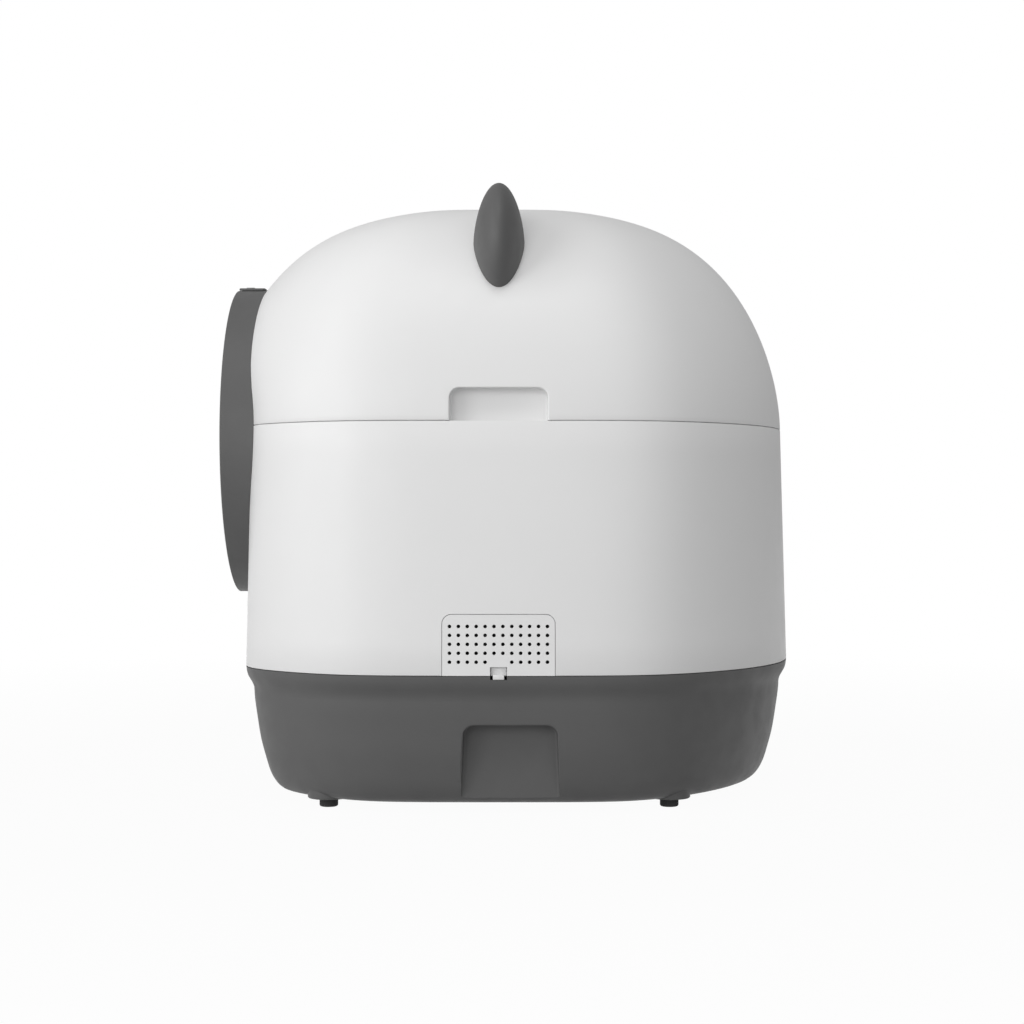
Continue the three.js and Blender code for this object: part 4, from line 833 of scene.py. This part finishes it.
def pull_cutter(grow):
    """The cutter for the drawer's finger grip, with its mouth's edge and its back rounded."""
    x1, corner = PULL["half"] + grow, PULL["corner"] + grow
    z0, z1 = PULL["low"] - grow, PULL["high"] + grow
    outline = []
    for cx, cz, start in ((x1, z1, 0), (-x1, z1, 90), (-x1, z0, 180), (x1, z0, 270)):
        mx = cx - math.copysign(corner, cx)
        mz = cz - corner if cz == z1 else cz + corner
        outline += [(mx, mz, u, v) for u, v in arc(0, 0, 1, start, start + 90, 8)]

    def ring_at(size, y_at):
        places = [(mx + size * u, mz + size * v) for mx, mz, u, v in outline]
        return [(x, y_at(x, z), z) for x, z in places]

    mouth, floor = PULL["mouth"], PULL["floor"]
    rings = [ring_at(corner + mouth, lambda x, z: -FAR)]
    for a in quarter(6):
        wide, deep = mouth * (1 - math.sin(a)), mouth * (1 - math.cos(a)) - NICK
        rings.append(ring_at(corner + wide, lambda x, z: -plan_front(base_plan(z), x) + deep))
    for a in quarter(4):
        back = PULL["back"] + grow - floor * (1 - math.sin(a))
        rings.append(ring_at(corner - floor * (1 - math.cos(a)), lambda x, z: back))
    return loft("pull", rings)


def make_drawer_front():
    half, back, low, high = DRAWER["half"], DRAWER["back"], DRAWER["low"], DRAWER["high"]
    front = base_form("drawer_front_skin", 0)
    common(front, block("slab", (-half, AHEAD, low), (half, back, high)))
    hollow = base_form("hollow", DRAWER["wall"])
    common(hollow, block("room", (WALL - half, AHEAD, low + WALL),
                         (half - WALL, back + GAP + RUN, high - WALL)))
    cut(front, hollow)
    wall = common(pull_cutter(PULL["wall"]), base_form("outside", SKIN))
    return cut(add(front, wall), pull_cutter(0))


def make_tray():
    half, front, back, low = TRAY["half"], TRAY["front"], TRAY["back"], DRAWER["low"]
    corner, edge = TRAY["corner"], TRAY["edge"]
    tray = prism_z("drawer_tray_skin", -half, half, front, back, corner, low, TRAY["top"], edge)
    return cut(tray, prism_z("room", WALL - half, half - WALL, front + WALL, back - WALL, corner - WALL,
                             low + WALL, SEAM_LOW, edge - RUN))


def make_bag_frame():
    half, low, high = BAG["half"], BAG["low"], BAG["high"]
    made = prism_z("bag_frame_skin", -TRAY["half"], TRAY["half"], TRAY["front"], TRAY["back"], TRAY["corner"],
                   low, high)
    cut(made, prism_z("hole", -half, half, BAG["front"], BAG["back"], BAG["corner"], low - WALL, high + WALL))
    return chamfer(made, BAG["edge"], 2, 40)


# Rollers, feet and inlet
ROLLER = {"x": 120.05, "y": 80, "z": 166.95, "radius": 13, "half": 6, "edge": 1, "bore": 3.5, "sides": 64}


def make_roller(name, x, y):
    bore, half, edge = ROLLER["bore"], ROLLER["half"], ROLLER["edge"]
    middle = ROLLER["radius"] - edge
    profile = [(bore, y - half), *arc(middle, y - half + edge, edge, -90, 0, 4),
               *arc(middle, y + half - edge, edge, 0, 90, 4), (bore, y + half)]
    return along_y(name, x, ROLLER["z"], profile, ROLLER["sides"])


def make_pad(name, x, y):
    pad, edge, stem = FOOT["pad"], FOOT["pad_edge"], FOOT["stem"]
    top, end = FLOOR_GAP - GAP, FLOOR_GAP + FOOT["stem_length"]
    profile = [(0, 0), (pad - edge, 0), *arc(pad - edge, edge, edge, -80, 0, 6), (pad, top - FOOT["chamfer"]),
               (pad - FOOT["chamfer"], top), (stem, top), (stem, end), (0, end)]
    return upright(name, x, y, profile, SMALL_SIDES)


def make_inlet():
    x, z, end = INLET["x"], INLET["z"], INLET_Y + INLET["proud"]
    flange = rod(INLET["radius"], INLET_Y - INLET["seat"], end)
    inlet = along_y("power_inlet_skin", x, z, flange, MEDIUM_SIDES)
    cut(inlet, base_form("base", -GAP))
    add(inlet, along_y("barrel", x, z, rod(INLET["barrel"], INLET_Y - INLET["deep"], end), MEDIUM_SIDES))
    return cut(inlet, along_y("bore", x, z, rod(INLET["bore"], end - INLET["bore_deep"], end + RUN)))


# Materials
class Graph:
    """A node material in the making."""

    def __init__(self, name):
        self.material = bpy.data.materials.new(name)
        self.material.use_nodes = True
        self.tree = self.material.node_tree
        self.shader = self.tree.nodes["Principled BSDF"]
        self.place = self.tree.nodes.new("ShaderNodeTexCoord").outputs["Object"]

    def node(self, kind, **values):
        made = self.tree.nodes.new(kind)
        for key, value in values.items():
            setattr(made, key, value)
        return made

    def link(self, source, target):
        self.tree.links.new(source, target)

    def combine(self, operation, first, second):
        made = self.node("ShaderNodeMath", operation=operation)
        self.link(first, made.inputs[0])
        self.link(second, made.inputs[1])
        return made.outputs[0]

    def noise(self, scale, detail=3, roughness=0.5, stretch=(1, 1, 1)):
        place = self.node("ShaderNodeMapping")
        place.inputs["Scale"].default_value = stretch
        self.link(self.place, place.inputs["Vector"])
        made = self.node("ShaderNodeTexNoise")
        made.inputs["Scale"].default_value = scale
        made.inputs["Detail"].default_value = detail
        made.inputs["Roughness"].default_value = roughness
        self.link(place.outputs["Vector"], made.inputs["Vector"])
        return made.outputs["Fac"]

    def ramp(self, source, low, high, start=0.35, end=0.65):
        """A value or colour that runs from low to high as the source runs from start to end."""
        if isinstance(low, tuple):
            made = self.node("ShaderNodeValToRGB")
            made.color_ramp.elements[0].position = start
            made.color_ramp.elements[1].position = end
            made.color_ramp.elements[0].color = (*low, 1)
            made.color_ramp.elements[1].color = (*high, 1)
            self.link(source, made.inputs["Fac"])
            return made.outputs["Color"]
        made = self.node("ShaderNodeMapRange")
        made.inputs["From Min"].default_value = start
        made.inputs["From Max"].default_value = end
        made.inputs["To Min"].default_value = low
        made.inputs["To Max"].default_value = high
        self.link(source, made.inputs["Value"])
        return made.outputs["Result"]

    def bump(self, source, depth, strength=1.0, over=None):
        """Bump whose full range is a depth in millimetres."""
        made = self.node("ShaderNodeBump")
        made.inputs["Strength"].default_value = strength
        made.inputs["Distance"].default_value = depth * MM
        self.link(source, made.inputs["Height"])
        if over:
            self.link(over, made.inputs["Normal"])
        return made.outputs["Normal"]

    def finish(self, color, roughness, normal=None, metallic=0.0, **values):
        self.link(color, self.shader.inputs["Base Color"])
        self.link(roughness, self.shader.inputs["Roughness"])
        self.shader.inputs["Metallic"].default_value = metallic
        if normal:
            self.link(normal, self.shader.inputs["Normal"])
        for key, value in values.items():
            self.shader.inputs[key.replace("_", " ")].default_value = value
        return self.material


def grey(value, warm=0.0):
    return (value * (1 + warm), value, value * (1 - warm))


def moulded(name, tone, spread, rough, grain, depth, warm=0.0, specular=0.5):
    """Moulded plastic: a faint cloud of colour, uneven gloss, slight waviness and a fine grain."""
    graph = Graph(name)
    cloud = graph.noise(9, 4, 0.55)
    fine = graph.noise(grain, 2, 0.6)
    color = graph.ramp(cloud, grey(tone * (1 - spread), warm), grey(tone * (1 + spread), warm))
    gloss = graph.ramp(graph.noise(60, 3), rough - 0.035, rough + 0.035)
    wavy = graph.bump(graph.noise(14, 1), 0.10, 0.5)
    normal = graph.bump(fine, depth, 0.6, wavy)
    return graph.finish(color, gloss, normal, Specular_IOR_Level=specular)


WHITE = moulded("white_plastic_look", 0.80, 0.006, 0.42, 900, 0.012, specular=0.4)
DARK = moulded("dark_plastic_look", 0.103, 0.035, 0.52, 1500, 0.035, specular=0.35)
GREY = moulded("grey_plastic_look", 0.46, 0.015, 0.48, 1100, 0.02)
LINING = moulded("drum_plastic_look", 0.50, 0.02, 0.5, 1000, 0.03)
BLACK = moulded("black_plastic_look", 0.022, 0.08, 0.2, 1400, 0.008)
BUTTON = moulded("button_plastic_look", 0.33, 0.02, 0.4, 1300, 0.015)
NYLON = moulded("nylon_look", 0.68, 0.02, 0.5, 1200, 0.02, warm=0.035)
RUBBER = moulded("rubber_look", 0.035, 0.12, 0.75, 1600, 0.05, specular=0.3)


def steel(name):
    graph = Graph(name)
    brushed = graph.noise(220, 4, 0.6, (1, 14, 1))
    color = graph.ramp(graph.noise(30, 4), (0.47, 0.48, 0.50), (0.58, 0.59, 0.60))
    gloss = graph.ramp(brushed, 0.26, 0.42)
    return graph.finish(color, gloss, graph.bump(brushed, 0.01, 0.5), metallic=1.0)


def laminate(name):
    graph = Graph(name)
    color = graph.ramp(graph.noise(160, 5, 0.7), (0.018, 0.095, 0.045), (0.03, 0.16, 0.075), 0.42, 0.58)
    gloss = graph.ramp(graph.noise(300, 3), 0.3, 0.5)
    return graph.finish(color, gloss, graph.bump(graph.noise(900, 3), 0.03, 0.6))


def carbon(name):
    graph = Graph(name)
    cells = graph.node("ShaderNodeTexVoronoi")
    cells.inputs["Scale"].default_value = 420
    graph.link(graph.place, cells.inputs["Vector"])
    pores = cells.outputs["Distance"]
    color = graph.ramp(pores, (0.008, 0.008, 0.009), (0.05, 0.05, 0.052), 0.1, 0.6)
    gloss = graph.ramp(pores, 0.75, 0.95, 0, 1)
    return graph.finish(color, gloss, graph.bump(pores, 0.9, 1.0))


STEEL = steel("steel_look")
LAMINATE = laminate("circuit_board_look")
CARBON = carbon("carbon_look")


# Dressing the part
def dress(made, material, body, slot, *nodes, angle=32):
    smooth(made, angle)
    made.data.materials.clear()
    made.data.materials.append(material)
    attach(made, body)
    if nodes:
        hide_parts(*nodes)
    return made


def dress_frame():
    """Better materials for the solids that stay as they are."""
    looks = {
        "white_plastic": WHITE, "dark_plastic": DARK, "grey_plastic": GREY, "black_plastic": BLACK,
        "rubber": RUBBER, "nylon": NYLON, "steel": STEEL, "circuit_board": LAMINATE, "carbon": CARBON,
    }
    for entry in frame["record"]["subparts"]:
        node = frame["nodes"][entry["node"]]
        node.data.materials.clear()
        node.data.materials.append(looks[entry["material_slot"]])


dress_frame()
dress(make_base(), DARK, "housing", "dark_plastic", "base_tub")
dress(make_body(), WHITE, "housing", "white_plastic", "body_shell")
dress(make_dome(), WHITE, "dome", "white_plastic", "dome_cover")
for side, word in ((-1, "left"), (1, "right")):
    dress(make_ear(f"ear_{word}_skin", side), DARK, "dome", "dark_plastic", f"ear_{word}", angle=50)
dress(make_ring(), DARK, "housing", "dark_plastic", "entry_ring")
dress(about_axis("entry_liner_skin", tube(RING_BORE, LINER_R, LINER_FRONT, LINER_BACK)), DARK, "housing",
      "dark_plastic", "entry_liner")
seal_profile = tube(LINER_R + GAP, SEAL["radius"], LINER_BACK - SEAL["thick"], LINER_BACK)
dress(about_axis("mouth_seal_skin", seal_profile), RUBBER, "housing", "rubber", "mouth_seal")
dress(make_panel(), DARK, "housing", "dark_plastic", "control_panel")
for button_name, button_angle in BUTTON_ANGLES.items():
    dress(make_button(button_name, button_angle), BUTTON, button_name, "grey_plastic", button_name, angle=50)
lens_profile = soft_rod(LENS["radius"], RING_FRONT + LENS["front"], RING_FRONT + LENS["back"], LENS["edge"])
dress(along_y("presence_lens_skin", 0, LENS["z"], lens_profile, MEDIUM_SIDES), BLACK, "housing",
      "black_plastic", "presence_lens")
dress(make_drum_front(), LINING, "drum", "grey_plastic", "drum_front")
dress(make_drum_rear(), LINING, "drum", "grey_plastic", "drum_rear")
dress(make_port_frame(), GREY, "drum", "grey_plastic", "waste_port_frame")
dress(make_door(), WHITE, "filter_door", "white_plastic", "filter_door")
dress(make_latch(), WHITE, "filter_latch", "white_plastic", "filter_latch")
dress(make_drawer_front(), DARK, "drawer", "dark_plastic", "drawer_front")
dress(make_tray(), DARK, "drawer", "dark_plastic", "drawer_tray")
dress(make_bag_frame(), GREY, "drawer", "grey_plastic", "bag_frame")
for number, (x, y) in enumerate(corners_of(ROLLER), 1):
    dress(make_roller(f"roller_{number}_skin", x, y), NYLON, f"roller_{number}", "nylon", f"roller_{number}")
for number, (x, y) in enumerate(corners_of(FOOT), 1):
    dress(make_pad(f"foot_pad_{number}_skin", x, y), RUBBER, "housing", "rubber", f"foot_pad_{number}")
dress(make_inlet(), BLACK, "housing", "black_plastic", "power_inlet")


# Studio: a floor that the camera sees as nearly white, soft lamps, a white surround, and the camera
FLOOR = {"size": 60, "tone": 0.35, "white_near": 0.96, "fade_start": 0.55, "fade_end": 1.8}
WORLD_LIGHT = 0.464
AIM_HEIGHT = 0.3
LAMP_DISTANCE = 3
LAMP_SIZE = 1.1
LAMPS = {
    "front_low": (-75, 10, 12.2), "side_front": (-45, 10, 17), "side": (-15, 10, 12.8),
    "side_rear": (20, 10, 3.4), "front_high": (-70, 35, 5.8), "top": (0, 60, 15.7),
}
CAMERA_PLACE = (2.0, 0.00075, 0.2678)
CAMERA_SENSOR = 36
CAMERA_LENS = 70.3125
CAMERA_RANGE = 50


def floor_look():
    """White to the camera, apart from a small share of the floor's own shading near the object, which
    keeps its shadow."""
    graph = Graph("floor_look")
    away = graph.node("ShaderNodeVectorMath", operation="LENGTH")
    graph.link(graph.place, away.inputs[0])
    whiteness = graph.ramp(away.outputs["Value"], FLOOR["white_near"], 1.0, FLOOR["fade_start"],
                           FLOOR["fade_end"])
    color = graph.ramp(graph.noise(3, 2), grey(FLOOR["tone"] * 0.995), grey(FLOOR["tone"]))
    gloss = graph.ramp(graph.noise(5, 2), 0.85, 0.95)
    graph.finish(color, gloss)
    ray = graph.node("ShaderNodeLightPath").outputs
    seen = graph.combine("MAXIMUM", ray["Is Camera Ray"], ray["Is Glossy Ray"])
    seen = graph.combine("MAXIMUM", seen, ray["Is Transmission Ray"])
    mix = graph.node("ShaderNodeMixShader")
    graph.link(graph.combine("MULTIPLY", seen, whiteness), mix.inputs["Fac"])
    graph.link(graph.shader.outputs[0], mix.inputs[1])
    graph.link(graph.node("ShaderNodeEmission").outputs[0], mix.inputs[2])
    output = next(n for n in graph.tree.nodes if n.type == "OUTPUT_MATERIAL")
    graph.link(mix.outputs[0], output.inputs["Surface"])
    return graph.material


def stand(name, data):
    """A new object in the scene."""
    made = bpy.data.objects.new(name, data)
    bpy.context.scene.collection.objects.link(made)
    return made


def make_floor():
    half = FLOOR["size"] / 2
    mesh = bpy.data.meshes.new("floor")
    mesh.from_pydata([(-half, -half, 0), (half, -half, 0), (half, half, 0), (-half, half, 0)], [],
                     [(0, 1, 2, 3)])
    mesh.materials.append(floor_look())
    stand("floor", mesh)


def make_lamp(name, azimuth, up, power):
    """A square soft lamp: degrees from the camera's side towards the rear, degrees up, and watts."""
    data = bpy.data.lights.new(name, "AREA")
    data.shape = "RECTANGLE"
    data.size = LAMP_SIZE
    data.size_y = LAMP_SIZE
    data.energy = power
    azimuth, up = math.radians(azimuth), math.radians(up)
    flat = LAMP_DISTANCE * math.cos(up)
    place = (flat * math.cos(azimuth), flat * math.sin(azimuth), AIM_HEIGHT + LAMP_DISTANCE * math.sin(up))
    made = stand(name, data)
    made.location = place
    made.rotation_euler = (Vector((0, 0, AIM_HEIGHT)) - Vector(place)).to_track_quat("-Z", "Y").to_euler()


def make_surround():
    """A white surround for the camera that lights the object more dimly."""
    world = bpy.data.worlds.new("studio")
    world.use_nodes = True
    bpy.context.scene.world = world
    tree = world.node_tree
    dim = tree.nodes["Background"]
    white = tree.nodes.new("ShaderNodeBackground")
    for light, strength in ((dim, WORLD_LIGHT), (white, 1)):
        light.inputs["Color"].default_value = (1, 1, 1, 1)
        light.inputs["Strength"].default_value = strength
    rays = tree.nodes.new("ShaderNodeLightPath")
    mix = tree.nodes.new("ShaderNodeMixShader")
    tree.links.new(rays.outputs["Is Camera Ray"], mix.inputs["Fac"])
    tree.links.new(dim.outputs[0], mix.inputs[1])
    tree.links.new(white.outputs[0], mix.inputs[2])
    tree.links.new(mix.outputs[0], tree.nodes["World Output"].inputs["Surface"])


def make_camera():
    camera = stand("camera", bpy.data.cameras.new("camera"))
    camera.data.sensor_width = CAMERA_SENSOR
    camera.data.lens = CAMERA_LENS
    camera.data.clip_end = CAMERA_RANGE
    camera.location = CAMERA_PLACE
    camera.rotation_euler = (math.pi / 2, 0, math.pi / 2)
    bpy.context.scene.camera = camera


make_floor()
for lamp_name, lamp_values in LAMPS.items():
    make_lamp(lamp_name, *lamp_values)
make_surround()
make_camera()
bpy.context.scene.view_settings.view_transform = "Standard"
